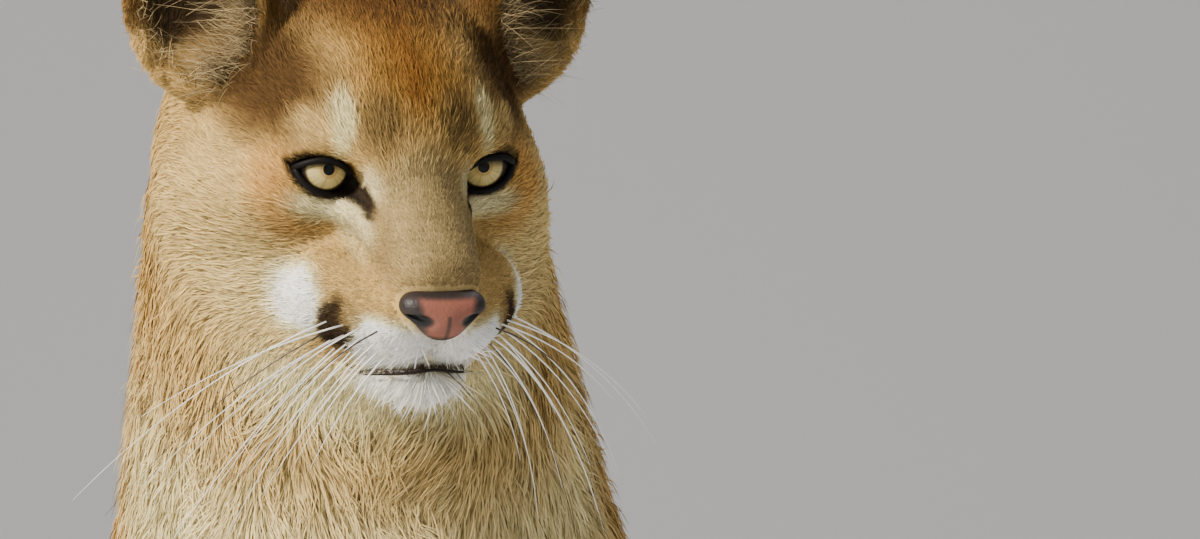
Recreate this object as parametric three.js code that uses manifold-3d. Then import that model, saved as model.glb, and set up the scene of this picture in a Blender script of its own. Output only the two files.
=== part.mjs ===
// A life-size standing cougar, head raised and turned to its left, as a museum shows one.
// Millimetres, +Z up. The animal faces -Y, and +X is its left side.
// The flesh is one smooth distance function of named forms. Each sub-part is that
// surface, meshed at the part's own step and parted from its neighbours by flat cuts.
import * as THREE from "three";
import { mergeVertices } from "three/addons/utils/BufferGeometryUtils.js";
import Module from "manifold-3d";

const wasm = await Module();
wasm.setup();

// Driving sizes of an adult male
const GAP = 0.35; // between parts that meet
const WITHERS = 690;
const BELLY = 418;
const CHEST_HALF_WIDTH = 117;
const EYE_HEIGHT = 838;
const PAW_HALF_WIDTH = 43;
const HIND_PAW_HALF_WIDTH = 38;
const TAIL_THICK = 33;
const EYE_R = 15;

// Where the head sits and how it turns on the neck
const HEAD_AT = [26, -404, EYE_HEIGHT];
const HEAD_YAW = 21.5;
const HEAD_PITCH = 21;
const HEAD_ROLL = -1.5;

// Vectors as plain arrays
const add = (a, b) => [a[0] + b[0], a[1] + b[1], a[2] + b[2]];
const sub = (a, b) => [a[0] - b[0], a[1] - b[1], a[2] - b[2]];
const times = (a, s) => [a[0] * s, a[1] * s, a[2] * s];
const dot = (a, b) => a[0] * b[0] + a[1] * b[1] + a[2] * b[2];
const size = (a) => Math.hypot(a[0], a[1], a[2]);
const unit = (a) => times(a, 1 / size(a));
const mix = (a, b, t) => a + (b - a) * t;
const clamp = (v, lo, hi) => Math.min(Math.max(v, lo), hi);

// A turn as three own axes: roll about Y, then pitch about X (plus tips the nose down), then yaw about Z
function turned(yaw, pitch, roll) {
  const m = new THREE.Matrix4().makeRotationZ(THREE.MathUtils.degToRad(yaw));
  m.multiply(new THREE.Matrix4().makeRotationX(THREE.MathUtils.degToRad(pitch)));
  m.multiply(new THREE.Matrix4().makeRotationY(THREE.MathUtils.degToRad(roll)));
  const e = m.elements;
  return [[e[0], e[1], e[2]], [e[4], e[5], e[6]], [e[8], e[9], e[10]]];
}
const HEAD_AXES = turned(HEAD_YAW, HEAD_PITCH, HEAD_ROLL);
const intoAxes = (p, at, axes) => {
  const d = sub(p, at);
  return [dot(d, axes[0]), dot(d, axes[1]), dot(d, axes[2])];
};
const outOfAxes = (q, at, axes) =>
  add(at, add(times(axes[0], q[0]), add(times(axes[1], q[1]), times(axes[2], q[2]))));
const headPoint = (q) => outOfAxes(q, HEAD_AT, HEAD_AXES);
const headWay = (q) => outOfAxes(q, [0, 0, 0], HEAD_AXES);

// Distance functions: an egg, a tapered limb, and how two forms run together or one is cut from the other
function egg(p, at, radii, axes) {
  const q = axes ? intoAxes(p, at, axes) : sub(p, at);
  const k0 = Math.hypot(q[0] / radii[0], q[1] / radii[1], q[2] / radii[2]) + 1e-6;
  const k1 =
    Math.hypot(q[0] / radii[0] ** 2, q[1] / radii[1] ** 2, q[2] / radii[2] ** 2) + 1e-9;
  return (k0 * (k0 - 1)) / k1;
}
function limb(p, a, b, ra, rb, flat = 1) {
  const ab = sub(b, a);
  const t = clamp(dot(sub(p, a), ab) / dot(ab, ab), 0, 1);
  const q = sub(sub(p, a), times(ab, t));
  return (Math.hypot(q[0] / flat, q[1], q[2]) - mix(ra, rb, t)) * Math.min(1, flat);
}
function blend(a, b, k) {
  const h = Math.max(k - Math.abs(a - b), 0) / k;
  return Math.min(a, b) - h * h * k * 0.25;
}
const carve = (a, b, k) => -blend(-a, b, k);

// The trunk: stations from chest to rump, each with its place along Y, top, bottom and half width
const TRUNK = [
  [-352, 560, 500, 30],
  [-325, 625, 452, 78],
  [-280, 668, 428, 108],
  [-200, WITHERS, BELLY, CHEST_HALF_WIDTH],
  [-90, 684, 410, 118],
  [40, 668, 424, 118],
  [180, 672, 468, 100],
  [300, 690, 492, 92],
  [400, 692, 500, 94],
  [470, 664, 520, 78],
  [515, 620, 560, 30],
];
function station(y) {
  const last = TRUNK.length - 1;
  let i = 0;
  while (i < last - 1 && y > TRUNK[i + 1][0]) i++;
  const [a, b] = [TRUNK[i], TRUNK[i + 1]];
  const before = TRUNK[Math.max(i - 1, 0)];
  const after = TRUNK[Math.min(i + 2, last)];
  const t = clamp((y - a[0]) / (b[0] - a[0]), 0, 1);
  const step = b[0] - a[0];
  // Hermite between stations, with the slope that the neighbours give
  return [1, 2, 3].map((n) => {
    const m0 = (b[n] - before[n]) / Math.max(b[0] - before[0], 1);
    const m1 = (after[n] - a[n]) / Math.max(after[0] - a[0], 1);
    const h = t * t * (3 - 2 * t);
    return (
      mix(a[n], b[n], h) + step * (t * (1 - t) * (1 - t) * m0 - t * t * (1 - t) * m1)
    );
  });
}
function trunk(p) {
  const ends = [TRUNK[0][0], TRUNK[TRUNK.length - 1][0]];
  const y = clamp(p[1], ends[0], ends[1]);
  const [top, bottom, half] = station(y);
  const mid = (top + bottom) / 2;
  const tall = (top - bottom) / 2;
  const rho = Math.hypot(p[0] / half, (p[2] - mid) / tall);
  const across = (rho - 1) * Math.min(half, tall);
  const past = Math.abs(p[1] - y);
  return past > 0 ? Math.hypot(Math.max(across, 0), past) : across;
}

// Legs: the joints of each, from top to paw
const FORE = {
  left: { side: 1, shift: -34, name: "left" },
  right: { side: -1, shift: 12, name: "right" },
};
const HIND = {
  left: { side: 1, shift: 42, name: "left" },
  right: { side: -1, shift: -46, name: "right" },
};
function foreJoints({ side, shift }) {
  return {
    blade: [side * 52, -205, 640],
    shoulder: [side * 78, -278, 520],
    elbow: [side * 88, -160, 412],
    forearm: [side * 86, -178 + shift * 0.4, 320],
    wrist: [side * 78, -206 + shift * 0.9, 152],
    pastern: [side * 77, -214 + shift, 66],
    paw: [side * 78, -232 + shift, 0],
  };
}
function hindJoints({ side, shift }) {
  return {
    hip: [side * 48, 402, 606],
    ham: [side * 58, 462, 560],
    knee: [side * 84, 312 + shift * 0.3, 405],
    calf: [side * 78, 392 + shift * 0.5, 350],
    hock: [side * 72, 500 + shift * 0.9, 222],
    cannon: [side * 73, 486 + shift, 118],
    pastern: [side * 74, 470 + shift, 56],
    paw: [side * 75, 446 + shift, 0],
  };
}
function paw(p, at, half, long) {
  const [x, y] = at;
  let d = egg(p, [x, y + 8, 22], [half * 0.86, long * 0.5, 30]);
  for (const [across, forward, wide] of TOES) {
    const toe = [x + across * half, y - forward * long, 19];
    d = blend(d, egg(p, toe, [half * wide, long * 0.26, 20]), 7);
  }
  return d;
}
const TOES = [
  [-0.7, 0.34, 0.31],
  [-0.26, 0.5, 0.31],
  [0.26, 0.5, 0.31],
  [0.7, 0.34, 0.31],
];
function foreleg(p, leg) {
  const j = foreJoints(leg);
  let d = limb(p, j.blade, j.shoulder, 50, 60, 0.8);
  d = blend(d, limb(p, j.shoulder, j.elbow, 60, 50, 0.85), 30);
  d = blend(d, limb(p, j.elbow, j.forearm, 50, 41), 20);
  d = blend(d, limb(p, j.forearm, j.wrist, 41, 29), 20);
  d = blend(d, limb(p, j.wrist, j.pastern, 29, 30), 14);
  return blend(d, paw(p, j.paw, PAW_HALF_WIDTH, 100), 16);
}
function hindleg(p, leg) {
  const j = hindJoints(leg);
  let d = limb(p, j.hip, j.knee, 92, 62, 0.8);
  d = blend(d, limb(p, j.ham, j.calf, 72, 46, 0.8), 30);
  d = blend(d, limb(p, j.knee, j.calf, 58, 50), 24);
  d = blend(d, limb(p, j.calf, j.hock, 50, 25), 26);
  d = blend(d, limb(p, j.hock, j.cannon, 25, 24), 12);
  d = blend(d, limb(p, j.cannon, j.pastern, 24, 26), 12);
  return blend(d, paw(p, j.paw, HIND_PAW_HALF_WIDTH, 92), 14);
}

// The tail hangs behind the heels and lifts at its tip
const TAIL = [
  [0, 490, 628],
  [0, 548, 560],
  [-4, 600, 450],
  [-8, 640, 330],
  [-10, 690, 232],
  [-6, 760, 176],
  [4, 840, 176],
  [14, 905, 214],
];
const tailCurve = new THREE.CatmullRomCurve3(TAIL.map((v) => new THREE.Vector3(...v)));
const TAIL_STEPS = 28;
const tailPoints = tailCurve.getSpacedPoints(TAIL_STEPS).map((v) => [v.x, v.y, v.z]);
const tailRadius = (t) => mix(TAIL_THICK + 6 * Math.exp(-t * 9), TAIL_THICK - 10, t);
function tail(p) {
  let d = 1e3;
  for (let i = 0; i < TAIL_STEPS; i++) {
    const [r0, r1] = [tailRadius(i / TAIL_STEPS), tailRadius((i + 1) / TAIL_STEPS)];
    d = Math.min(d, limb(p, tailPoints[i], tailPoints[i + 1], r0, r1));
  }
  return d;
}

// The neck rises from the withers and chest to the back of the skull
const NAPE_LOW = [1, -206, 612];
const NAPE_HIGH = headPoint([0, 108, -26]);
const THROAT_LOW = [0, -286, 540];
const THROAT_HIGH = headPoint([0, 88, -66]);
function neck(p) {
  const nape = limb(p, NAPE_LOW, NAPE_HIGH, 137, 91);
  const throat = limb(p, THROAT_LOW, THROAT_HIGH, 112, 72);
  return blend(nape, throat, 40);
}

// The head, in its own axes: the origin lies between the inner corners of the eyes
const EYE_AT = [39.5, 19, -0.5];
function headForm(p) {
  const q = [Math.abs(p[0]), p[1], p[2]];
  let d = egg(q, [0, 74, 12], [66, 76, 58]);
  d = blend(d, egg(q, [0, 32, 8], [50, 44, 36]), 22);
  d = blend(d, egg(q, [31, 32, 15], [24, 24, 17]), 14);
  d = blend(d, egg(q, [50, 50, -18], [31, 40, 27]), 22);
  d = blend(d, egg(q, [46, 76, -40], [44, 48, 44]), 26);
  d = blend(d, limb(q, [0, -43, -33], [0, 14, -4], 18, 27), 14);
  d = blend(d, limb(q, [9, -45, -33], [14, 8, -12], 12, 17), 10);
  d = blend(d, limb(q, [14, -42, -58], [33, -10, -56], 19, 23), 11);
  d = blend(d, egg(q, [0, -33, -84], [22, 24, 16]), 9);
  d = blend(d, limb(q, [14, -20, -84], [42, 42, -76], 16, 25), 16);
  d = blend(d, egg(q, [0, 24, -66], [42, 56, 28]), 16);
  d = carve(d, egg(q, [40, 4, -3], [18, 13, 10]), 8);
  return blend(d, egg(q, EYE_AT, [18, 17, 17]), 4);
}

// The bare pad of the nose, with a wing and a nostril each side
function noseForm(p) {
  const q = [Math.abs(p[0]), p[1], p[2]];
  let d = egg(q, [0, -59, -47], [13, 10, 12]);
  d = blend(d, egg(q, [11.5, -57, -42.5], [9.5, 9, 7]), 6);
  return carve(d, limb(q, [8.5, -70, -48.5], [17, -60, -45], 2.6, 1.5), 2);
}
// The opening between the lids, seen from the front: inner corner, outer corner, and the way the lids bow
const LID_INNER = [25, -9];
const LID_OUTER = [54.5, 1];
const LID_TOP = [[29, 8.5], [46, 11.5]];
const LID_LOW = [[51, -8], [39, -14]];
function lidOpening(side) {
  const outline = new THREE.Shape();
  const at = ([x, z]) => [side * x, z];
  outline.moveTo(...at(LID_INNER));
  outline.bezierCurveTo(...at(LID_TOP[0]), ...at(LID_TOP[1]), ...at(LID_OUTER));
  outline.bezierCurveTo(...at(LID_LOW[0]), ...at(LID_LOW[1]), ...at(LID_INNER));
  const prism = new THREE.ExtrudeGeometry(outline, {
    depth: 60,
    bevelEnabled: false,
    curveSegments: 8,
  });
  const axes = [headWay([1, 0, 0]), headWay([0, 0, 1]), headWay([0, -1, 0])];
  const m = new THREE.Matrix4().makeBasis(...axes.map((a) => new THREE.Vector3(...a)));
  m.setPosition(new THREE.Vector3(...headPoint([0, EYE_AT[1] - 2, 0])));
  return solidFromGeometry(prism, m);
}
// Grooves on the muzzle: the parted lips from the middle back, and the split above them
const LIPS = [[0, -60, -76], [12, -58, -78], [20, -50, -81], [27, -38, -85], [38, -12, -86]];
const SPLIT = [[0, -62, -60], [0, -62, -68], [0, -60, -76]];
const GROOVE_R = 1.7;
function groove(points) {
  const path = points.map((q) => {
    let p = q;
    for (let n = 0; n < 4; n++) {
      const slope = [0, 1, 2].map((i) => {
        const o = [0, 0, 0];
        o[i] = 0.5;
        return headForm(add(p, o)) - headForm(sub(p, o));
      });
      p = sub(p, times(slope, headForm(p) / Math.max(dot(slope, slope), 0.1)));
    }
    return new THREE.Vector3(...headPoint(p));
  });
  const round = new THREE.Shape().absarc(0, 0, GROOVE_R, 0, 2 * Math.PI);
  const tube = new THREE.ExtrudeGeometry(round, {
    steps: points.length * 2,
    curveSegments: 2,
    extrudePath: new THREE.CatmullRomCurve3(path),
  });
  return solidFromGeometry(tube);
}

// Each ear is a rounded cup that opens forwards and outwards, set wide on the skull
const EAR_AT = [82, 86, 52];
const EAR_R = [38, 22, 50];
const CUP_AT = [0, -17, 7];
const CUP_R = [31, 24, 42];
const earPlace = (side) => [side * EAR_AT[0], EAR_AT[1], EAR_AT[2]];
const earAxes = (side) => turned(side * 26, -6, side * 22);
const earShell = (p, side) => egg(p, earPlace(side), EAR_R, earAxes(side));
function earForm(p, side) {
  const q = intoAxes(p, earPlace(side), earAxes(side));
  return carve(earShell(p, side), egg(q, CUP_AT, CUP_R), 4);
}

function headOnly(p) {
  return headForm(intoAxes(p, HEAD_AT, HEAD_AXES));
}
function flesh(p) {
  let d = blend(trunk(p), neck(p), 60);
  d = blend(d, headOnly(p), 26);
  for (const leg of Object.values(FORE)) d = blend(d, foreleg(p, leg), 34);
  for (const leg of Object.values(HIND)) d = blend(d, hindleg(p, leg), 34);
  return Math.max(d, -p[2]);
}

// The corners of a cell, its faces, and whether a set of corners hangs together along the edges
const corners = [];
for (let c = 0; c < 8; c++) corners.push([c & 1, (c >> 1) & 1, (c >> 2) & 1]);
const cellFaces = [0, 1, 2].flatMap((axis) =>
  [0, 1].map((side) => {
    const [u, v] = [(axis + 1) % 3, (axis + 2) % 3].map((n) => 1 << n);
    const base = side << axis;
    return [base, base | u, base | u | v, base | v];
  }),
);
function together(set) {
  if (set.length < 2) return true;
  const reached = [set[0]];
  for (const c of reached)
    for (const bit of [1, 2, 4])
      if (set.includes(c ^ bit) && !reached.includes(c ^ bit)) reached.push(c ^ bit);
  return reached.length === set.length;
}
// Where two sheets would share one point of the net, the narrow room between them is filled
function closeUnclear(values, [nx, ny, nz], id) {
  let changed = true;
  while (changed) {
    changed = false;
    for (let i = 0; i < nx - 1; i++)
      for (let j = 0; j < ny - 1; j++)
        for (let k = 0; k < nz - 1; k++) {
          const at = corners.map((c) => id(i + c[0], j + c[1], k + c[2]));
          const inside = [];
          const outside = [];
          at.forEach((n, c) => (values[n] < 0 ? inside : outside).push(c));
          if (!inside.length || !outside.length) continue;
          const crossed = cellFaces.some((f) => {
            const s = f.map((c) => values[at[c]] < 0);
            return s[0] === s[2] && s[1] === s[3] && s[0] !== s[1];
          });
          if (!crossed && together(inside) && together(outside)) continue;
          const open = outside.filter((c) => {
            const [a, b, d] = [i + corners[c][0], j + corners[c][1], k + corners[c][2]];
            return a && b && d && a < nx - 1 && b < ny - 1 && d < nz - 1;
          });
          if (!open.length) continue;
          const least = open.reduce((a, b) => (values[at[a]] < values[at[b]] ? a : b));
          values[at[least]] = -1e-3;
          changed = true;
        }
  }
}

// Meshing: a net of one point for each cell that the surface crosses, then drawn onto the surface
function netOf(form, low, high, steps) {
  const count = [0, 1, 2].map((i) => Math.max(3, Math.round((high[i] - low[i]) / steps[i])));
  const at = (i, j, k) => [
    mix(low[0], high[0], i / count[0]),
    mix(low[1], high[1], j / count[1]),
    mix(low[2], high[2], k / count[2]),
  ];
  const [nx, ny, nz] = count.map((n) => n + 1);
  const id = (i, j, k) => (i * ny + j) * nz + k;
  const values = new Float64Array(nx * ny * nz);
  for (let i = 0; i < nx; i++)
    for (let j = 0; j < ny; j++)
      for (let k = 0; k < nz; k++) {
        const rim = !i || !j || !k || i === nx - 1 || j === ny - 1 || k === nz - 1;
        const d = form(at(i, j, k));
        values[id(i, j, k)] = rim ? Math.max(d, 0.5) : d;
      }
  closeUnclear(values, [nx, ny, nz], id);
  const points = [];
  const cell = new Map();
  for (let i = 0; i < nx - 1; i++)
    for (let j = 0; j < ny - 1; j++)
      for (let k = 0; k < nz - 1; k++) {
        let sum = [0, 0, 0];
        let crossings = 0;
        for (const a of corners)
          for (let axis = 0; axis < 3; axis++) {
            if (a[axis]) continue;
            const b = [...a];
            b[axis] = 1;
            const fa = values[id(i + a[0], j + a[1], k + a[2])];
            const fb = values[id(i + b[0], j + b[1], k + b[2])];
            if (fa < 0 === fb < 0) continue;
            const from = at(i + a[0], j + a[1], k + a[2]);
            const to = at(i + b[0], j + b[1], k + b[2]);
            sum = add(sum, add(from, times(sub(to, from), fa / (fa - fb))));
            crossings++;
          }
        if (!crossings) continue;
        cell.set(id(i, j, k), points.length);
        points.push(times(sum, 1 / crossings));
      }
  const faces = [];
  for (let i = 0; i < nx - 1; i++)
    for (let j = 0; j < ny - 1; j++)
      for (let k = 0; k < nz - 1; k++)
        for (let axis = 0; axis < 3; axis++) {
          const here = [i, j, k];
          if (!here[(axis + 1) % 3] || !here[(axis + 2) % 3]) continue;
          const next = [...here];
          next[axis]++;
          const fa = values[id(...here)];
          const fb = values[id(...next)];
          if (fa < 0 === fb < 0) continue;
          const [u, v] = [(axis + 1) % 3, (axis + 2) % 3];
          const ring = [[1, 1], [0, 1], [0, 0], [1, 0]].map(([du, dv]) => {
            const c = [...here];
            c[u] -= du;
            c[v] -= dv;
            return cell.get(id(...c));
          });
          if (fa >= 0) ring.reverse();
          const [p0, p1, p2, p3] = ring.map((n) => points[n]);
          // The shorter diagonal splits the quad
          if (size(sub(p0, p2)) <= size(sub(p1, p3)))
            faces.push([ring[0], ring[1], ring[2]], [ring[0], ring[2], ring[3]]);
          else faces.push([ring[0], ring[1], ring[3]], [ring[1], ring[2], ring[3]]);
        }
  return { points: points.map((p) => drawnOnto(form, p, low, high, steps)), faces };
}
function drawnOnto(form, start, low, high, steps) {
  // Points on the grid's own rim stay, as a cut takes them off
  if (start.some((v, i) => v < low[i] + steps[i] || v > high[i] - steps[i])) return start;
  let p = start;
  const e = 0.5;
  for (let n = 0; n < 2; n++) {
    const slope = [0, 1, 2].map((i) => {
      const o = [0, 0, 0];
      o[i] = e;
      return (form(add(p, o)) - form(sub(p, o))) / (2 * e);
    });
    const steep = Math.max(dot(slope, slope), 0.1);
    const move = clamp(form(p) / steep, -0.35 * Math.min(...steps), 0.35 * Math.min(...steps));
    p = sub(p, times(slope, move));
  }
  return p;
}
function solidOf(points, faces) {
  return new wasm.Manifold(
    new wasm.Mesh({
      numProp: 3,
      vertProperties: new Float32Array(points.flat()),
      triVerts: new Uint32Array(faces.flat()),
    }),
  );
}
function solidFromGeometry(geometry, matrix) {
  const g = geometry.clone();
  if (matrix) g.applyMatrix4(matrix);
  g.deleteAttribute("normal");
  g.deleteAttribute("uv");
  const merged = mergeVertices(g, 1e-3);
  return new wasm.Manifold(
    new wasm.Mesh({
      numProp: 3,
      vertProperties: new Float32Array(merged.attributes.position.array),
      triVerts: new Uint32Array(merged.index.array),
    }),
  );
}

// A half of space as a large box whose face lies on the cut
const FAR = 6000;
function half(point, normal, inset = 0) {
  const n = unit(normal);
  const centre = add(point, times(n, -FAR / 2 - inset));
  const toNormal = new THREE.Quaternion().setFromUnitVectors(
    new THREE.Vector3(0, 0, 1),
    new THREE.Vector3(...n),
  );
  const m = new THREE.Matrix4().compose(
    new THREE.Vector3(...centre),
    toNormal,
    new THREE.Vector3(1, 1, 1),
  );
  return solidFromGeometry(new THREE.BoxGeometry(FAR, FAR, FAR), m);
}
// Keeps what lies behind the cut (against the normal) or before it (along the normal), less half the gap
const keepBehind = (solid, [point, normal]) => solid.intersect(half(point, normal, GAP / 2));
const keepBefore = (solid, [point, normal]) =>
  solid.intersect(half(point, times(normal, -1), GAP / 2));
const largest = (solid) =>
  solid.decompose().reduce((a, b) => (a.volume() > b.volume() ? a : b));

// The cuts, each a point and the way that leads outwards from the trunk
const legCuts = (side, low, high, front, back, top) => [
  [[side * high[0], 0, high[1]], [side * (high[1] - low[1]), 0, low[0] - high[0]]],
  [[0, front, 0], [0, 1, 0]],
  [[0, back, 0], [0, -1, 0]],
  [[0, 0, top], [side * 0.25, 0, -1]],
];
const FORE_CUTS = (side) => legCuts(side, [26, 380], [62, 560], -420, -66, 574);
const HIND_CUTS = (side) => legCuts(side, [20, 420], [50, 620], 236, 546, 632);
const block = (cuts, inset) =>
  cuts.map(([p, n]) => half(p, times(n, -1), inset)).reduce((a, b) => a.intersect(b));
const NECK_CUT = [[0, -252, 640], [0, -0.52, 0.85]];
const HEAD_CUT = [headPoint([0, 60, -102]), headWay([0, -0.2, 0.98])];
const LOIN_CUT = [[0, 60, 0], [0, 1, 0]];
const RUMP_CUT = [[0, 268, 0], [0, 1, 0]];
const tailCut = (t) => {
  const w = tailCurve.getTangentAt(t);
  const p = tailCurve.getPointAt(t);
  return [[p.x, p.y, p.z], [w.x, w.y, w.z]];
};
const TAIL_CUTS = [0.085, 0.3, 0.53, 0.76].map(tailCut);

const TAIL_ROOM = [TAIL_CUTS[0], [[0, 0, 505], [0, 0, 1]]];

// The meshes, one for each named sub-part
const parts = [];
const finish = (name, solid, colour, roughness = 0.9) => {
  const mesh = largest(solid).getMesh();
  const geometry = new THREE.BufferGeometry();
  geometry.setAttribute("position", new THREE.BufferAttribute(mesh.vertProperties.slice(), 3));
  geometry.setIndex(new THREE.BufferAttribute(mesh.triVerts.slice(), 1));
  geometry.computeVertexNormals();
  const material = new THREE.MeshStandardMaterial({ color: colour, roughness, metalness: 0 });
  const made = new THREE.Mesh(geometry, material);
  made.name = name;
  parts.push(made);
};
const TAWNY = 0xb98f62;
const PALE = 0xd9c4a0;
const DARK = 0x3a2a20;

function meshed(form, low, high, steps) {
  const net = netOf(form, low, high, steps);
  return solidOf(net.points, net.faces);
}

// Trunk, in three lengths
{
  const whole = meshed(flesh, [-230, -400, 340], [230, 560, 730], [34, 42, 31]);
  const legs = [1, -1].flatMap((side) => [
    block(FORE_CUTS(side), -GAP / 2),
    block(HIND_CUTS(side), -GAP / 2),
  ]);
  let body = legs.reduce((a, b) => a.subtract(b), whole);
  body = keepBehind(body, NECK_CUT).subtract(block(TAIL_ROOM, -GAP / 2));
  finish("chest", keepBehind(body, LOIN_CUT), TAWNY);
  finish("loin", keepBehind(keepBefore(body, LOIN_CUT), RUMP_CUT), TAWNY);
  finish("rump", keepBefore(body, RUMP_CUT), TAWNY);
}

// Neck
{
  const whole = meshed(flesh, [-200, -500, 520], [240, -60, 960], [27, 27, 27]);
  finish("neck", keepBehind(keepBefore(whole, NECK_CUT), HEAD_CUT), TAWNY);
}

// Legs
for (const leg of Object.values(FORE)) {
  const j = foreJoints(leg);
  const low = [Math.min(leg.side * 20, leg.side * 190), -400, 300];
  const high = [low[0] + 170, -40, 600];
  const upper = meshed(flesh, low, high, [25, 25, 25]);
  const limits = block(FORE_CUTS(leg.side), GAP / 2);
  const elbowCut = [[j.elbow[0], j.elbow[1], 372], [0, -0.1, -1]];
  const pawCut = [[j.pastern[0], j.pastern[1], 78], [0, -0.15, -1]];
  finish("upper_arm_" + leg.name, keepBehind(keepBehind(upper.intersect(limits), NECK_CUT), elbowCut), TAWNY);
  const lower = meshed(
    (p) => foreleg(p, leg),
    [j.wrist[0] - 75, j.wrist[1] - 110, 40],
    [j.wrist[0] + 75, j.elbow[1] + 90, 420],
    [16, 16, 38],
  );
  finish("forearm_" + leg.name, keepBehind(keepBefore(lower, elbowCut), pawCut), TAWNY);
  const foot = meshed(
    (p) => Math.max(foreleg(p, leg), -p[2]),
    [j.paw[0] - 60, j.paw[1] - 90, -14],
    [j.paw[0] + 60, j.paw[1] + 90, 106],
    [12.5, 12.5, 13],
  );
  finish("forepaw_" + leg.name, keepBefore(foot, pawCut).intersect(half([0, 0, 0.4], [0, 0, -1])), PALE);
}
for (const leg of Object.values(HIND)) {
  const j = hindJoints(leg);
  const low = [Math.min(leg.side * 8, leg.side * 185), 200, 300];
  const high = [low[0] + 177, 600, 680];
  const upper = meshed(flesh, low, high, [25, 28, 28]);
  const limits = block(HIND_CUTS(leg.side), GAP / 2);
  const kneeCut = [[j.calf[0], j.calf[1] - 20, 368], [0, 0.55, -1]];
  const hockCut = [[j.hock[0], j.hock[1] - 6, 204], [0, -0.35, -1]];
  const pawCut = [[j.pastern[0], j.pastern[1], 66], [0, -0.15, -1]];
  finish("thigh_" + leg.name, keepBehind(upper.intersect(limits), kneeCut), TAWNY);
  const lower = meshed(
    (p) => hindleg(p, leg),
    [j.hock[0] - 75, j.knee[1] - 90, 150],
    [j.hock[0] + 85, j.hock[1] + 70, 480],
    [16, 21, 30],
  );
  finish("shank_" + leg.name, keepBehind(keepBefore(lower, kneeCut), hockCut), TAWNY);
  const cannon = meshed(
    (p) => hindleg(p, leg),
    [j.cannon[0] - 48, j.pastern[1] - 60, 40],
    [j.cannon[0] + 48, j.hock[1] + 50, 260],
    [14, 14, 30],
  );
  finish("hock_" + leg.name, keepBehind(keepBefore(cannon, hockCut), pawCut), TAWNY);
  const foot = meshed(
    (p) => Math.max(hindleg(p, leg), -p[2]),
    [j.paw[0] - 54, j.paw[1] - 84, -14],
    [j.paw[0] + 54, j.paw[1] + 84, 94],
    [12.5, 12.5, 13],
  );
  finish("hindpaw_" + leg.name, keepBefore(foot, pawCut).intersect(half([0, 0, 0.4], [0, 0, -1])), PALE);
}

// Tail, in four lengths
{
  let whole = meshed(tail, [-70, 430, 110], [80, 960, 700], [15, 21, 21]);
  for (const side of [1, -1]) whole = whole.subtract(block(HIND_CUTS(side), -GAP / 2));
  TAIL_CUTS.forEach((cut, i) => {
    let length = keepBefore(whole, cut);
    if (i < TAIL_CUTS.length - 1) length = keepBehind(length, TAIL_CUTS[i + 1]);
    finish("tail_" + (i + 1), length, i === TAIL_CUTS.length - 1 ? DARK : TAWNY);
  });
}

// Head, eyes, ears and nose
{
  const own = (p) => {
    const q = outOfAxes(p, HEAD_AT, HEAD_AXES);
    return blend(neck(q), headForm(p), 26);
  };
  const toWorld = ({ points, faces }) => solidOf(points.map(headPoint), faces);
  let head = toWorld(netOf(own, [-130, -86, -152], [130, 214, 110], [12.8, 12, 12]));
  head = keepBefore(head, HEAD_CUT);
  for (const side of [1, -1]) {
    const name = side > 0 ? "left" : "right";
    const centre = headPoint([side * EYE_AT[0], EYE_AT[1], EYE_AT[2]]);
    const ball = new THREE.SphereGeometry(EYE_R, 16, 10);
    const place = new THREE.Matrix4().makeTranslation(...centre);
    const eye = solidFromGeometry(ball, place);
    const room = solidFromGeometry(new THREE.SphereGeometry(EYE_R + GAP, 16, 10), place);
    finish("eye_" + name, eye, 0xc9b45a, 0.1);
    head = head.subtract(room).subtract(lidOpening(side));
    head = head.subtract(groove(LIPS.map(([x, y, z]) => [side * x, y, z])));
    const earBox = [[side * 80 - 64, 40, -8], [side * 80 + 64, 140, 120], [10, 8, 10]];
    finish("ear_" + name, toWorld(netOf((p) => earForm(p, side), ...earBox)), TAWNY);
    head = head.subtract(toWorld(netOf((p) => earShell(p, side) - 1.2, ...earBox)));
  }
  head = head.subtract(groove(SPLIT));
  const noseBox = [[-30, -80, -69], [30, -40, -25], [6, 5, 5.4]];
  const room = toWorld(netOf((p) => noseForm(p) - 0.8, ...noseBox));
  finish("nose_pad", toWorld(netOf(noseForm, ...noseBox)), 0xa8665a, 0.5);
  head = head.subtract(room);
  finish("head", head, TAWNY);
}

// The part's origin is the middle of the ground that its box covers
const animal = new THREE.Group();
parts.forEach((mesh) => animal.add(mesh));
const extent = new THREE.Box3().setFromObject(animal, true);
animal.position.set(
  -(extent.min.x + extent.max.x) / 2,
  -(extent.min.y + extent.max.y) / 2,
  -extent.min.z,
);
const cougar = new THREE.Group();
cougar.add(animal);

export default cougar;
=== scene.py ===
"""A standing cougar: one skin under a coat of small locks, with eyes, lids, nose, whiskers and claws."""
import math
from functools import partial

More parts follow.
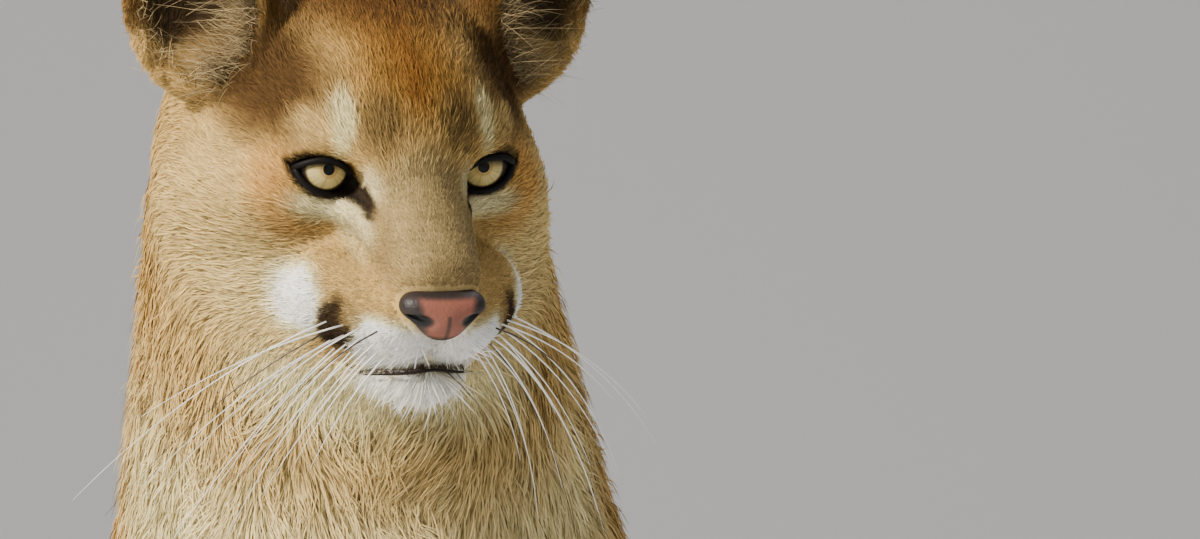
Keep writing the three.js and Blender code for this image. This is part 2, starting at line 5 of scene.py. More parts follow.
import bpy
import numpy as np
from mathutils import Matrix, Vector


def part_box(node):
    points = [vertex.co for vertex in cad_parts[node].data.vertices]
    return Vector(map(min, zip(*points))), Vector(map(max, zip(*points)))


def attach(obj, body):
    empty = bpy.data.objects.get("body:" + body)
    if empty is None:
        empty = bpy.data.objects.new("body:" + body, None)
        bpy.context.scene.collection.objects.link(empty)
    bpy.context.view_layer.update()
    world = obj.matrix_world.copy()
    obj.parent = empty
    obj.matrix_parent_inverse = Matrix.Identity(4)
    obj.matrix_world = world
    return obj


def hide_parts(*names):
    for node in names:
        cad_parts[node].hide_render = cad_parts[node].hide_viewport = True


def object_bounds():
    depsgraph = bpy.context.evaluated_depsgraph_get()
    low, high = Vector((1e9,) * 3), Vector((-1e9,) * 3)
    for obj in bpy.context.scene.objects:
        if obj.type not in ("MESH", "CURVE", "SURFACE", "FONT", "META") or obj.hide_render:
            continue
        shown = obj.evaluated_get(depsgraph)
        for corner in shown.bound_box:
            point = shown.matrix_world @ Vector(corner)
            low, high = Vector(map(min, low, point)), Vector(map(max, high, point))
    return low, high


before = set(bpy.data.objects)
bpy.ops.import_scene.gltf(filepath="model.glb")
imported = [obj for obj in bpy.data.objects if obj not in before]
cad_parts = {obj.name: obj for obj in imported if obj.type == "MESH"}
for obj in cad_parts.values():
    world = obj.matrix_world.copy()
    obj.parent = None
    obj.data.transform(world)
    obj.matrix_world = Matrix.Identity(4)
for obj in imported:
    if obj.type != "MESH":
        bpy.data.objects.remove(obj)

CAD_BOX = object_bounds()
rng = np.random.default_rng(7)

# Sizes in millimetres, as in the solids
HEAD_AT = np.array([26.0, -404.0, 838.0])
HEAD_YAW, HEAD_PITCH, HEAD_ROLL = 21.5, 21.0, -1.5
EYE_R = 15.0
EYE_AT = np.array([39.5, 19.0, -0.5])
WITHERS, BELLY, CHEST_HALF_WIDTH = 690.0, 418.0, 117.0
TAIL_THICK = 33.0
PAW_HALF_WIDTH, PAW_LONG = 43.0, 100.0
HIND_PAW_HALF_WIDTH, HIND_PAW_LONG = 38.0, 92.0


def turned(yaw, pitch, roll):
    """Own axes as columns: roll about Y, then pitch about X (plus tips the nose down), then yaw about Z."""
    y, p, r = np.radians([yaw, pitch, roll])
    rz = np.array([[np.cos(y), -np.sin(y), 0], [np.sin(y), np.cos(y), 0], [0, 0, 1]])
    rx = np.array([[1, 0, 0], [0, np.cos(p), -np.sin(p)], [0, np.sin(p), np.cos(p)]])
    ry = np.array([[np.cos(r), 0, np.sin(r)], [0, 1, 0], [-np.sin(r), 0, np.cos(r)]])
    return rz @ rx @ ry


HEAD_AXES = turned(HEAD_YAW, HEAD_PITCH, HEAD_ROLL)


def head_point(q):
    return HEAD_AT + np.asarray(q, float) @ HEAD_AXES.T


def into_head(p):
    return (p - HEAD_AT.astype(np.float32)) @ HEAD_AXES.astype(np.float32)


# Distance functions: below zero inside the form
def blend(a, b, k):
    h = np.maximum(k - np.abs(a - b), 0) / k
    return np.minimum(a, b) - h * h * k * 0.25


def carve(a, b, k):
    return -blend(-a, b, k)


def egg(p, at, radii, axes=None):
    q = p - np.asarray(at, np.float32)
    if axes is not None:
        q = q @ np.asarray(axes, np.float32)
    r = np.asarray(radii, np.float32)
    k0 = np.sqrt(((q / r) ** 2).sum(-1)) + 1e-6
    k1 = np.sqrt(((q / (r * r)) ** 2).sum(-1)) + 1e-9
    return k0 * (k0 - 1) / k1


def limb(p, a, b, ra, rb, flat=1.0):
    a, b = np.asarray(a, np.float32), np.asarray(b, np.float32)
    ab = b - a
    t = np.clip(((p - a) @ ab) / (ab @ ab), 0, 1)
    q = p - a - t[..., None] * ab
    if flat != 1.0:
        q = q * np.array([1 / flat, 1, 1], np.float32)
    return (np.sqrt((q * q).sum(-1)) - (ra + (rb - ra) * t)) * min(1.0, flat)


def smooth(x, a, b):
    t = np.clip((x - a) / (b - a), 0, 1)
    return t * t * (3 - 2 * t)


TRUNK = np.array([
    [-352, 560, 500, 30],
    [-325, 625, 452, 78],
    [-280, 668, 428, 108],
    [-200, WITHERS, BELLY, CHEST_HALF_WIDTH],
    [-90, 684, 410, 118],
    [40, 668, 424, 118],
    [180, 672, 468, 100],
    [300, 690, 492, 92],
    [400, 692, 500, 94],
    [470, 664, 520, 78],
    [515, 620, 560, 30],
], float)


def trunk(p):
    ys = TRUNK[:, 0]
    y = np.clip(p[:, 1], ys[0], ys[-1])
    i = np.clip(np.searchsorted(ys, y, side="left") - 1, 0, len(ys) - 2)
    before, after = np.maximum(i - 1, 0), np.minimum(i + 2, len(ys) - 1)
    step = ys[i + 1] - ys[i]
    t = (y - ys[i]) / step
    h = t * t * (3 - 2 * t)
    got = []
    for n in (1, 2, 3):
        v = TRUNK[:, n]
        m0 = (v[i + 1] - v[before]) / np.maximum(ys[i + 1] - ys[before], 1)
        m1 = (v[after] - v[i]) / np.maximum(ys[after] - ys[i], 1)
        got.append(v[i] + (v[i + 1] - v[i]) * h + step * (t * (1 - t) ** 2 * m0 - t * t * (1 - t) * m1))
    top, bottom, half = got
    mid, tall = (top + bottom) / 2, (top - bottom) / 2
    across = (np.hypot(p[:, 0] / half, (p[:, 2] - mid) / tall) - 1) * np.minimum(half, tall)
    past = np.abs(p[:, 1] - y)
    return np.where(past > 0, np.hypot(np.maximum(across, 0), past), across)


# Each leg: its side, plus for the left, and how far its foot is set back. Each toe: aside, ahead, half width
FORE = [(1, -34), (-1, 12)]
HIND = [(1, 42), (-1, -46)]
TOES = [(-0.7, 0.34, 0.31), (-0.26, 0.5, 0.31), (0.26, 0.5, 0.31), (0.7, 0.34, 0.31)]


def fore_joints(side, shift):
    return dict(
        blade=(side * 52, -205, 640), shoulder=(side * 78, -278, 520), elbow=(side * 88, -160, 412),
        forearm=(side * 86, -178 + shift * 0.4, 320), wrist=(side * 78, -206 + shift * 0.9, 152),
        pastern=(side * 77, -214 + shift, 66), paw=(side * 78, -232 + shift, 0))


def hind_joints(side, shift):
    return dict(
        hip=(side * 48, 402, 606), ham=(side * 58, 462, 560), knee=(side * 84, 312 + shift * 0.3, 405),
        calf=(side * 78, 392 + shift * 0.5, 350), hock=(side * 72, 500 + shift * 0.9, 222),
        cannon=(side * 73, 486 + shift, 118), pastern=(side * 74, 470 + shift, 56),
        paw=(side * 75, 446 + shift, 0))


def toe_places(at, half, long):
    return [(at[0] + a * half, at[1] - f * long, 19, half * w, long * 0.26, 20) for a, f, w in TOES]


def paw(p, at, half, long):
    d = egg(p, (at[0], at[1] + 8, 22), (half * 0.86, long * 0.5, 30))
    for x, y, z, rx, ry, rz in toe_places(at, half, long):
        d = blend(d, egg(p, (x, y, z), (rx, ry, rz)), 5)
    return d


def foreleg(p, side, shift):
    j = fore_joints(side, shift)
    d = limb(p, j["blade"], j["shoulder"], 50, 60, 0.8)
    d = blend(d, limb(p, j["shoulder"], j["elbow"], 60, 50, 0.85), 30)
    d = blend(d, limb(p, j["elbow"], j["forearm"], 50, 41), 20)
    d = blend(d, limb(p, j["forearm"], j["wrist"], 41, 29), 20)
    d = blend(d, limb(p, j["wrist"], j["pastern"], 29, 30), 14)
    return blend(d, paw(p, j["paw"], PAW_HALF_WIDTH, PAW_LONG), 16)


def hindleg(p, side, shift):
    j = hind_joints(side, shift)
    d = limb(p, j["hip"], j["knee"], 92, 62, 0.8)
    d = blend(d, limb(p, j["ham"], j["calf"], 72, 46, 0.8), 30)
    d = blend(d, limb(p, j["knee"], j["calf"], 58, 50), 24)
    d = blend(d, limb(p, j["calf"], j["hock"], 50, 25), 26)
    d = blend(d, limb(p, j["hock"], j["cannon"], 25, 24), 12)
    d = blend(d, limb(p, j["cannon"], j["pastern"], 24, 26), 12)
    return blend(d, paw(p, j["paw"], HIND_PAW_HALF_WIDTH, HIND_PAW_LONG), 14)


TAIL = np.array([[0, 490, 628], [0, 548, 560], [-4, 600, 450], [-8, 640, 330],
                 [-10, 690, 232], [-6, 760, 176], [4, 840, 176], [14, 905, 214]], float)
TAIL_STEPS = 28


def through(points, count):
    """Evenly spaced points on a smooth curve through the given ones."""
    pts = np.asarray(points, float)
    ext = np.vstack([2 * pts[0] - pts[1], pts, 2 * pts[-1] - pts[-2]])
    out = []
    for i in range(1, len(ext) - 2):
        a, b, c, d = ext[i - 1:i + 3]
        u = np.linspace(0, 1, 40, endpoint=False)[:, None]
        out.append(0.5 * (2 * b + (c - a) * u + (2 * a - 5 * b + 4 * c - d) * u ** 2
                          + (3 * b - a - 3 * c + d) * u ** 3))
    out = np.vstack(out + [pts[-1:]])
    s = np.r_[0, np.cumsum(np.linalg.norm(np.diff(out, axis=0), axis=1))]
    want = np.linspace(0, s[-1], count)
    return np.stack([np.interp(want, s, out[:, k]) for k in range(out.shape[1])], 1)


TAIL_LINE = through(TAIL, TAIL_STEPS + 1)


def tail(p):
    d = np.full(len(p), 1e3, np.float32)
    for i in range(TAIL_STEPS):
        t0, t1 = i / TAIL_STEPS, (i + 1) / TAIL_STEPS
        r = [TAIL_THICK - 10 * t + 6 * math.exp(-9 * t) for t in (t0, t1)]
        d = np.minimum(d, limb(p, TAIL_LINE[i], TAIL_LINE[i + 1], r[0], r[1]))
    return d


NAPE_LOW, NAPE_HIGH = (1, -206, 612), head_point((0, 108, -26))
THROAT_LOW, THROAT_HIGH = (0, -286, 540), head_point((0, 88, -66))


def neck(p):
    return blend(limb(p, NAPE_LOW, NAPE_HIGH, 137, 91), limb(p, THROAT_LOW, THROAT_HIGH, 112, 72), 40)


def head_form(p):
    q = p.copy()
    q[:, 0] = np.abs(q[:, 0])
    d = egg(q, (0, 74, 12), (66, 76, 58))
    d = blend(d, egg(q, (0, 32, 8), (50, 44, 36)), 22)
    d = blend(d, egg(q, (31, 32, 15), (24, 24, 17)), 14)
    d = blend(d, egg(q, (50, 50, -18), (31, 40, 27)), 22)
    d = blend(d, egg(q, (46, 76, -40), (44, 48, 44)), 26)
    d = blend(d, limb(q, (0, -43, -33), (0, 14, -4), 18, 27), 14)
    d = blend(d, limb(q, (9, -45, -33), (14, 8, -12), 12, 17), 10)
    d = blend(d, limb(q, (14, -42, -58), (33, -10, -56), 19, 23), 11)
    d = blend(d, egg(q, (0, -33, -84), (22, 24, 16)), 9)
    d = blend(d, limb(q, (14, -20, -84), (42, 42, -76), 16, 25), 16)
    d = blend(d, egg(q, (0, 24, -66), (42, 56, 28)), 16)
    d = carve(d, egg(q, (40, 4, -3), (18, 13, 10)), 8)
    return blend(d, egg(q, EYE_AT, (18, 17, 17)), 4)


EAR_AT, EAR_R = (82, 86, 52), (38, 22, 50)
CUP_AT, CUP_R = (0, -17, 7), (31, 24, 42)


def ear_axes(side):
    return turned(side * 26, -6, side * 22)


def ear_form(q, side):
    at = (side * EAR_AT[0], EAR_AT[1], EAR_AT[2])
    own = (q - np.asarray(at, np.float32)) @ ear_axes(side).astype(np.float32)
    return carve(egg(own, (0, 0, 0), EAR_R), egg(own, CUP_AT, CUP_R), 4)


# Where the lips meet: the height in the middle, how fast it drops to the sides, how far out it still drops
LIP_MIDDLE, LIP_DROP, LIP_HALF_WIDTH = -76.0, 0.0125, 27.0
LIP_DEPTH = 3.5

# The opening between the lids, seen from the front
LID_INNER, LID_OUTER = (25.0, -9.0), (54.5, 1.0)
LID_TOP, LID_LOW = ((29, 8.5), (46, 11.5)), ((51, -8), (39, -14))


def bezier(a, b, c, d, u):
    a, b, c, d = (np.asarray(v, float) for v in (a, b, c, d))
    u = np.asarray(u)[:, None]
    return a * (1 - u) ** 3 + 3 * b * u * (1 - u) ** 2 + 3 * c * u * u * (1 - u) + d * u ** 3


def lid_line(count=24):
    u = np.linspace(0, 1, count)
    top = bezier(LID_INNER, LID_TOP[0], LID_TOP[1], LID_OUTER, u)
    low = bezier(LID_OUTER, LID_LOW[0], LID_LOW[1], LID_INNER, u)
    return np.vstack([top[:-1], low[:-1]])


LID_LINE = lid_line()


def lid_distance(x, z):
    """Signed distance to the lids' outline in the head's front view: below zero between the lids."""
    a, b = LID_LINE, np.roll(LID_LINE, -1, axis=0)
    best = np.full(len(x), 1e9)
    inside = np.zeros(len(x), bool)
    for (ax, az), (bx, bz) in zip(a, b):
        dx, dz = bx - ax, bz - az
        t = np.clip(((x - ax) * dx + (z - az) * dz) / (dx * dx + dz * dz), 0, 1)
        best = np.minimum(best, np.hypot(x - ax - t * dx, z - az - t * dz))
        cross = (az > z) != (bz > z)
        if bz != az:
            inside ^= cross & (x < (bx - ax) * (z - az) / (bz - az) + ax)
    return np.where(inside, -best, best)


def nose_form(p):
    q = p.copy()
    q[:, 0] = np.abs(q[:, 0])
    d = egg(q, (0, -59, -47), (13, 10, 12))
    d = blend(d, egg(q, (11.5, -57, -42.5), (9.5, 9, 7)), 6)
    return carve(d, limb(q, (8.5, -70, -48.5), (17, -60, -45), 2.6, 1.5), 2)


def lip_height(x):
    """The height at which the lips meet, x to the side of the head's middle."""
    return LIP_MIDDLE - LIP_DROP * np.minimum(np.abs(x), LIP_HALF_WIDTH) ** 2


def head_group(p):
    q = into_head(p)
    d = head_form(q)
    # the lips part in a thin line, the upper lip splits below the nose, both only near the surface
    x = np.abs(q[:, 0])
    lip = np.maximum(np.abs(q[:, 2] - lip_height(x)) - 0.2, q[:, 1] + 8)
    d = np.where(d > -LIP_DEPTH, carve(d, np.maximum(lip, x - 42), 2.2), d)
    split = np.maximum(np.maximum(x - 0.3, np.abs(q[:, 2] + 65.5) - 10.5), q[:, 1] + 50)
    d = np.where(d > -LIP_DEPTH, carve(d, split, 2.2), d)
    near = (np.abs(x - 39) < 22) & (np.abs(q[:, 2]) < 22) & (q[:, 1] < EYE_AT[1] + 4)
    if near.any():
        opening = lid_distance(x[near], q[near, 2])
        hole = np.maximum(opening, q[near, 1] - EYE_AT[1])
        d[near] = carve(d[near], hole, 1.5)
    return d


def ears(p):
    q = into_head(p)
    return np.minimum(ear_form(q, 1), ear_form(q, -1))


# Each group: its function, its box, and how far it blends into what is before it
GROUPS = [
    (trunk, (-125, -360, 400), (125, 520, 700), 0),
    (neck, (-120, -470, 430), (140, -90, 960), 60),
    (head_group, (-130, -480, 690), (150, -180, 960), 26),
    (ears, (-160, -460, 820), (170, -220, 990), 8),
]


def beside(side, near, far, front, back, top):
    """The box of a leg: from near to far of the middle, on the leg's own side."""
    return (min(side * near, side * far), front, 0), (max(side * near, side * far), back, top)


for leg_side, leg_shift in FORE:
    box = beside(leg_side, 10, 160, -380, -90, 700)
    GROUPS.append((partial(foreleg, side=leg_side, shift=leg_shift), *box, 34))
for leg_side, leg_shift in HIND:
    box = beside(leg_side, -40, 160, 230, 590, 710)
    GROUPS.append((partial(hindleg, side=leg_side, shift=leg_shift), *box, 34))
GROUPS.append((tail, (-60, 440, 130), (70, 950, 700), 24))
# A group farther off than this, past the nearest one, can't touch its blend
REACH = 75


def flesh(p):
    """Distance to the outer surface of the coat, in millimetres, with far groups left out."""
    p = np.asarray(p, np.float32)
    low, high = p.min(0), p.max(0)
    gaps = []
    for _, box_low, box_high, _ in GROUPS:
        apart = np.maximum(np.array(box_low) - high, low - np.array(box_high))
        gaps.append(np.linalg.norm(np.maximum(0, apart)))
    near = min(gaps)
    d = None
    for (form, _, _, k), gap in zip(GROUPS, gaps):
        if gap > near + REACH:
            continue
        v = form(p)
        d = v if d is None else (blend(d, v, k) if k else np.minimum(d, v))
    return np.maximum(d, 0.5 - p[:, 2]).astype(np.float32)


def near_either_ear(q, above, radii=(1, 1, 1)):
    """How far points of the head are from a place above the nearer ear's middle, in units of radii."""
    far = []
    for side in (1, -1):
        at = np.array([side * EAR_AT[0], EAR_AT[1], EAR_AT[2] + above])
        far.append(np.linalg.norm((q - at) / np.array(radii), axis=1))
    return np.minimum(*far)


def coat_depth(p):
    """How far the skin lies under the coat's outer surface."""
    q = into_head(p)
    from_face = np.sqrt((q[:, 0] * 0.8) ** 2 + (q[:, 1] + 40) ** 2 + (q[:, 2] + 10) ** 2)
    head = 1.2 + 3.6 * smooth(from_face, 60, 125)
    body = 4.2 + 3.2 * smooth(p[:, 2], 300, 480)
    body = np.where(p[:, 2] < 110, 2.2, body)
    body = np.where(p[:, 1] > 540, 4.5, body)
    w = smooth(np.linalg.norm(q - np.array([0, 50, -10]), axis=1), 95, 170)
    d = head * (1 - w) + body * w
    ear = near_either_ear(q, 12)
    return (1.0 + (d - 1.0) * smooth(ear, 34, 62)).astype(np.float32)


def skin_form(p):
    return flesh(p) + coat_depth(p)


# Meshing: a net of points over the surface, then settled on it
def axis(*spans):
    out = [spans[0][0]]
    for a, b, s in spans:
        n = max(1, int(round((b - a) / s)))
        out += list(a + (b - a) * (np.arange(n) + 1) / n)
    return np.array(out, np.float64)


def nets(fn, xs, ys, zs, block=12):
    """A net of one point for each cell that the surface crosses."""
    nx, ny, nz = len(xs), len(ys), len(zs)
    f = np.full((nx, ny, nz), 1e3, np.float32)
    for i in range(0, nx, block):
        for j in range(0, ny, block):
            for k in range(0, nz, block):
                i1, j1, k1 = min(i + block, nx), min(j + block, ny), min(k + block, nz)
                lo = np.array([xs[i], ys[j], zs[k]])
                hi = np.array([xs[i1 - 1], ys[j1 - 1], zs[k1 - 1]])
                mid = fn(((lo + hi) / 2)[None])[0]
                if abs(mid) > np.linalg.norm(hi - lo) / 2 * 1.35 + 8:
                    f[i:i1, j:j1, k:k1] = mid
                    continue
                g = np.stack(np.meshgrid(xs[i:i1], ys[j:j1], zs[k:k1], indexing="ij"), -1)
                f[i:i1, j:j1, k:k1] = fn(g.reshape(-1, 3)).reshape(g.shape[:3])
    inside = f < 0
    total = sum(inside[a:nx - 1 + a, b:ny - 1 + b, c:nz - 1 + c].astype(np.uint8)
                for a in (0, 1) for b in (0, 1) for c in (0, 1))
    cells = np.argwhere((total > 0) & (total < 8))
    index = np.full((nx - 1, ny - 1, nz - 1), -1, np.int32)
    index[tuple(cells.T)] = np.arange(len(cells))
    acc, cnt = np.zeros((len(cells), 3)), np.zeros(len(cells))
    for a in [(a, b, c) for a in (0, 1) for b in (0, 1) for c in (0, 1)]:
        for ax in range(3):
            if a[ax]:
                continue
            b = list(a)
            b[ax] = 1
            ia, ib = cells + a, cells + b
            fa, fb = f[tuple(ia.T)], f[tuple(ib.T)]
            m = (fa < 0) != (fb < 0)
            t = np.where(m, fa / np.where(m, fa - fb, 1), 0)[:, None]
            pa = np.stack([xs[ia[:, 0]], ys[ia[:, 1]], zs[ia[:, 2]]], 1)
            pb = np.stack([xs[ib[:, 0]], ys[ib[:, 1]], zs[ib[:, 2]]], 1)
            acc[m] += (pa + t * (pb - pa))[m]
            cnt[m] += 1
    quads = []
    for ax in range(3):
        u, v = [(1, 2), (2, 0), (0, 1)][ax]
        s0, s1 = [slice(None)] * 3, [slice(None)] * 3
        s0[ax], s1[ax] = slice(0, -1), slice(1, None)
        s0[u] = s1[u] = s0[v] = s1[v] = slice(1, -1)
        a, b = inside[tuple(s0)], inside[tuple(s1)]
        for flip, mask in ((False, a & ~b), (True, ~a & b)):
            e = np.argwhere(mask)
            if not len(e):
                continue
            e[:, u] += 1
            e[:, v] += 1

            def cell(du, dv):
                c = e.copy()
                c[:, u] -= du
                c[:, v] -= dv
                return index[tuple(c.T)]

            ring = np.stack([cell(1, 1), cell(0, 1), cell(0, 0), cell(1, 0)], 1)
            quads.append(ring[:, ::-1] if flip else ring)
    return acc / cnt[:, None], np.concatenate(quads)


def in_chunks(fn, p, size=8192):
    order = np.argsort(np.floor(p[:, 1] / 60) * 1e4 + np.floor(p[:, 2] / 60) * 100 + p[:, 0] / 60)
    out = np.empty(len(p), np.float32)
    for i in range(0, len(p), size):
        pick = order[i:i + size]
        out[pick] = fn(p[pick])
    return out


def gradient(fn, p, e=0.6):
    g = np.empty((len(p), 3))
    for i in range(3):
        o = np.zeros(3)
        o[i] = e
        g[:, i] = in_chunks(fn, p + o) - in_chunks(fn, p - o)
    n = np.linalg.norm(g, axis=1)
    return g / np.maximum(n, 1e-9)[:, None], n / (2 * e)


def settle(fn, p, rounds=1, most=1.2):
    for _ in range(rounds):
        n, s = gradient(fn, p)
        p = p - n * np.clip(in_chunks(fn, p) / np.maximum(s, 0.4), -most, most)[:, None]
    return p


# From the animal's millimetres to the frame's metres
lo, hi = (np.array(v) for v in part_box("eye_left"))
EYE_LEFT = head_point(EYE_AT)
SHIFT = (lo + hi) / 2 * 1000 - EYE_LEFT
SHIFT[2] = -0.4


def metres(p):
    return (np.asarray(p) + SHIFT) / 1000


def linear(rgb):
    c = np.asarray(rgb, float) / 255
    return np.where(c <= 0.04045, c / 12.92, ((c + 0.055) / 1.055) ** 2.4)


def mesh_object(name, verts, faces, colour=None, uv=None, smooth_faces=True):
    """verts in the animal's millimetres, colour a linear rgb for each, uv a pair for each corner."""
    mesh = bpy.data.meshes.new(name)
    v = metres(verts).astype(np.float32)
    faces = np.asarray(faces)
    n, k = faces.shape
    mesh.vertices.add(len(v))
    mesh.vertices.foreach_set("co", v.ravel())
    mesh.loops.add(n * k)
    mesh.loops.foreach_set("vertex_index", faces.ravel().astype(np.int32))
    mesh.polygons.add(n)
    mesh.polygons.foreach_set("loop_start", (np.arange(n) * k).astype(np.int32))
    mesh.polygons.foreach_set("use_smooth", np.full(n, smooth_faces))
    mesh.update(calc_edges=True)
    if colour is not None:
        a = mesh.color_attributes.new("marks", "FLOAT_COLOR", "POINT")
        a.data.foreach_set("color", np.c_[colour, np.ones(len(v))].astype(np.float32).ravel())
    if uv is not None:
        layer = mesh.uv_layers.new(name="OFBake")
        layer.data.foreach_set("uv", uv.astype(np.float32).ravel())
    obj = bpy.data.objects.new(name, mesh)
    bpy.context.scene.collection.objects.link(obj)
    return obj


# Markings, the same for skin and coat
def lumps(p, size, seed):
    """A smooth wandering value between about -1 and 1."""
    r = np.random.default_rng(seed)
    out = np.zeros(len(p))
    for _ in range(5):
        w = r.normal(size=3)
        w = w / np.linalg.norm(w) * 2 * np.pi / size * r.uniform(0.6, 1.5)
        out += np.sin(p @ w + r.uniform(0, 6.3))
    return out / 3


def spot(q, at, radii, soft=0.5):
    d = np.sqrt((((q - np.asarray(at)) / np.asarray(radii)) ** 2).sum(1))
    return 1 - smooth(d, 1 - soft, 1 + soft)


# Spots of the head's pattern, each over those before it: colour, strength, place, half sizes, softness
HEAD_SPOTS = [
    ((162, 140, 108), 0.92, (0, -26, -18), (26, 52, 34), 0.22),
    ((146, 122, 90), 0.55, (0, -40, -34), (22, 18, 9), 0.5),
    ((132, 108, 76), 0.5, (22, -22, -22), (5, 26, 14), 0.5),
    ((104, 84, 56), 0.75, (18, -4, 25), (9, 16, 13), 0.55),
    ((222, 208, 176), 0.9, (34, 2, 25), (5.5, 16, 15), 0.45),
    ((206, 176, 130), 0.6, (46, 12, 20), (10, 16, 8), 0.5),
    ((200, 146, 86), 0.7, (63, 14, -6), (10, 18, 16), 0.55),
    ((186, 140, 88), 0.5, (54, 8, -25), (12, 20, 8), 0.5),
    ((226, 214, 188), 0.9, (38, 4, -17), (17, 16, 7), 0.5),
    ((220, 206, 178), 0.85, (28, -12, -22), (5, 20, 13), 0.5),
    ((216, 204, 184), 0.7, (22, -6, -3), (5, 12, 10), 0.5),
    ((243, 241, 233), 1.0, (54, -8, -58), (12, 26, 21), 0.3),
    ((244, 242, 236), 1.0, (22, -48, -66), (25, 24, 15), 0.25),
    ((238, 235, 226), 1.0, (0, -36, -90), (34, 34, 17), 0.3),
    ((226, 214, 184), 0.8, (20, 10, -104), (50, 50, 20), 0.5),
]


def marks(p):
    """The coat's colour at points of the animal, as sRGB 0 to 255."""
    p = np.asarray(p, float)
    q = (p - HEAD_AT) @ HEAD_AXES
    m = q.copy()
    m[:, 0] = np.abs(m[:, 0])
    z = p[:, 2]
    c = np.tile(np.array((176.0, 140.0, 92.0)), (len(p), 1))

    def lay(colour, weight):
        w = np.clip(weight, 0, 1)[:, None]
        c[:] = c * (1 - w) + np.asarray(colour, float) * w

    # body: darker along the back, pale below and inside the legs
    spine = smooth(z, 560, 700) * smooth(45 - np.abs(p[:, 0]), -20, 30) * smooth(p[:, 1], -260, -120)
    lay((138, 104, 64), 0.6 * spine)
    under = smooth(470 - z, -20, 60) * smooth(p[:, 1], -330, -250) * (1 - smooth(p[:, 1], 470, 540))
    inner = smooth(62 - np.abs(p[:, 0]), -4, 26)
    lay((214, 192, 152), 0.8 * under * inner)
    throat = smooth(-p[:, 1], 215, 300) * smooth(820 - z, 0, 120) * smooth(160 - np.abs(p[:, 0] - 5), 0, 60)
    lay((226, 212, 180), 0.85 * throat)
    lay((196, 168, 122), 0.5 * smooth(140 - z, 0, 80))
    lay((52, 38, 28), smooth(p[:, 1] + 0.4 * z, 905, 935) * (p[:, 1] > 600))
    # head
    w = 1 - smooth(np.linalg.norm(q - np.array([0, 40, -10]), axis=1), 120, 190)
    lay((190, 156, 106), 0.85 * w)
    lay((206, 178, 132), spot(m, (80, 44, -40), (34, 50, 42), 0.6) * 0.85)
    lay((214, 190, 148), spot(m, (62, 10, -66), (26, 40, 26), 0.6) * 0.7)
    lay((132, 92, 44), 0.92 * w * smooth(m[:, 2], 14, 44) * (1 - smooth(m[:, 0], 8, 42)))
    crest = 1 - smooth(m[:, 0] + 2 * lumps(p, 20, 8), 1, 9)
    lay((112, 70, 30), 0.55 * w * smooth(m[:, 2], 20, 40) * crest)
    lay((70, 49, 27), 0.95 * spot(m, (62, 46, 34), (29, 46, 27), 0.5))
    lay((82, 54, 27), 0.8 * w * smooth(m[:, 2] + 0.2 * m[:, 1], 56, 76))
    for colour, amount, at, radii, soft in HEAD_SPOTS:
        lay(colour, amount * spot(m, at, radii, soft))
    lay((48, 36, 27), 0.95 * spot(m + 1.5 * lumps(p, 9, 4)[:, None], (40.5, -32, -66), (7, 13, 19), 0.22))
    lay((158, 130, 92), 0.75 * spot(m, (36, -40, -54), (5, 8, 7), 0.4))
    off_lip = np.abs(m[:, 2] - lip_height(m[:, 0]) + 0.6)
    on_lip = (1 - smooth(off_lip, 0.7, 2.2)) * (m[:, 0] < 33) * (m[:, 1] < -20)
    lay((52, 42, 36), 0.92 * on_lip)
    eye = lid_distance(m[:, 0], m[:, 2])
    front = m[:, 1] < 30
    lay((20, 15, 12), 0.97 * front * (1 - smooth(eye, 1.2, 4.0)))
    tear = np.abs(m[:, 0] - 24.5 + 0.14 * (m[:, 2] + 10)) + np.maximum(0, np.abs(m[:, 2] + 11) - 4) * 0.9
    lay((44, 33, 26), 0.92 * front * (1 - smooth(tear, 0.2, 2.4)) * (m[:, 1] < 8))
    # ears: dark behind, with a dark rim, painted shade deep in each cup, pale hair within
    for side in (1, -1):
        own = (q - np.array([side * EAR_AT[0], EAR_AT[1], EAR_AT[2]])) @ ear_axes(side)
        on = 1 - smooth(np.linalg.norm(own / np.array(EAR_R), axis=1), 1.0, 1.25)
        on *= smooth(own[:, 2], -20, 0)
        lay((104, 82, 58), 0.8 * on * smooth(own[:, 1], -2, 6))
        cup = on * (1 - smooth(egg(own, CUP_AT, CUP_R), 1.0, 5.0))
        # Painted shade in the hollow of the cup, darker towards its middle
        cup_shade = 1 - smooth(np.hypot(own[:, 0] / 27, (own[:, 2] - 4) / 38), 0.75, 1.1)
        lay((54, 42, 31), 0.92 * cup * cup_shade)
        lay((150, 124, 84), 0.8 * cup * spot(own, (-side * 25, 0, -4), (12, 60, 40), 0.5))
    sunlit = 1 - smooth(c.mean(1), 205, 236)
    c[:, 2] *= 1 - 0.12 * sunlit
    return np.clip(c, 0, 255)


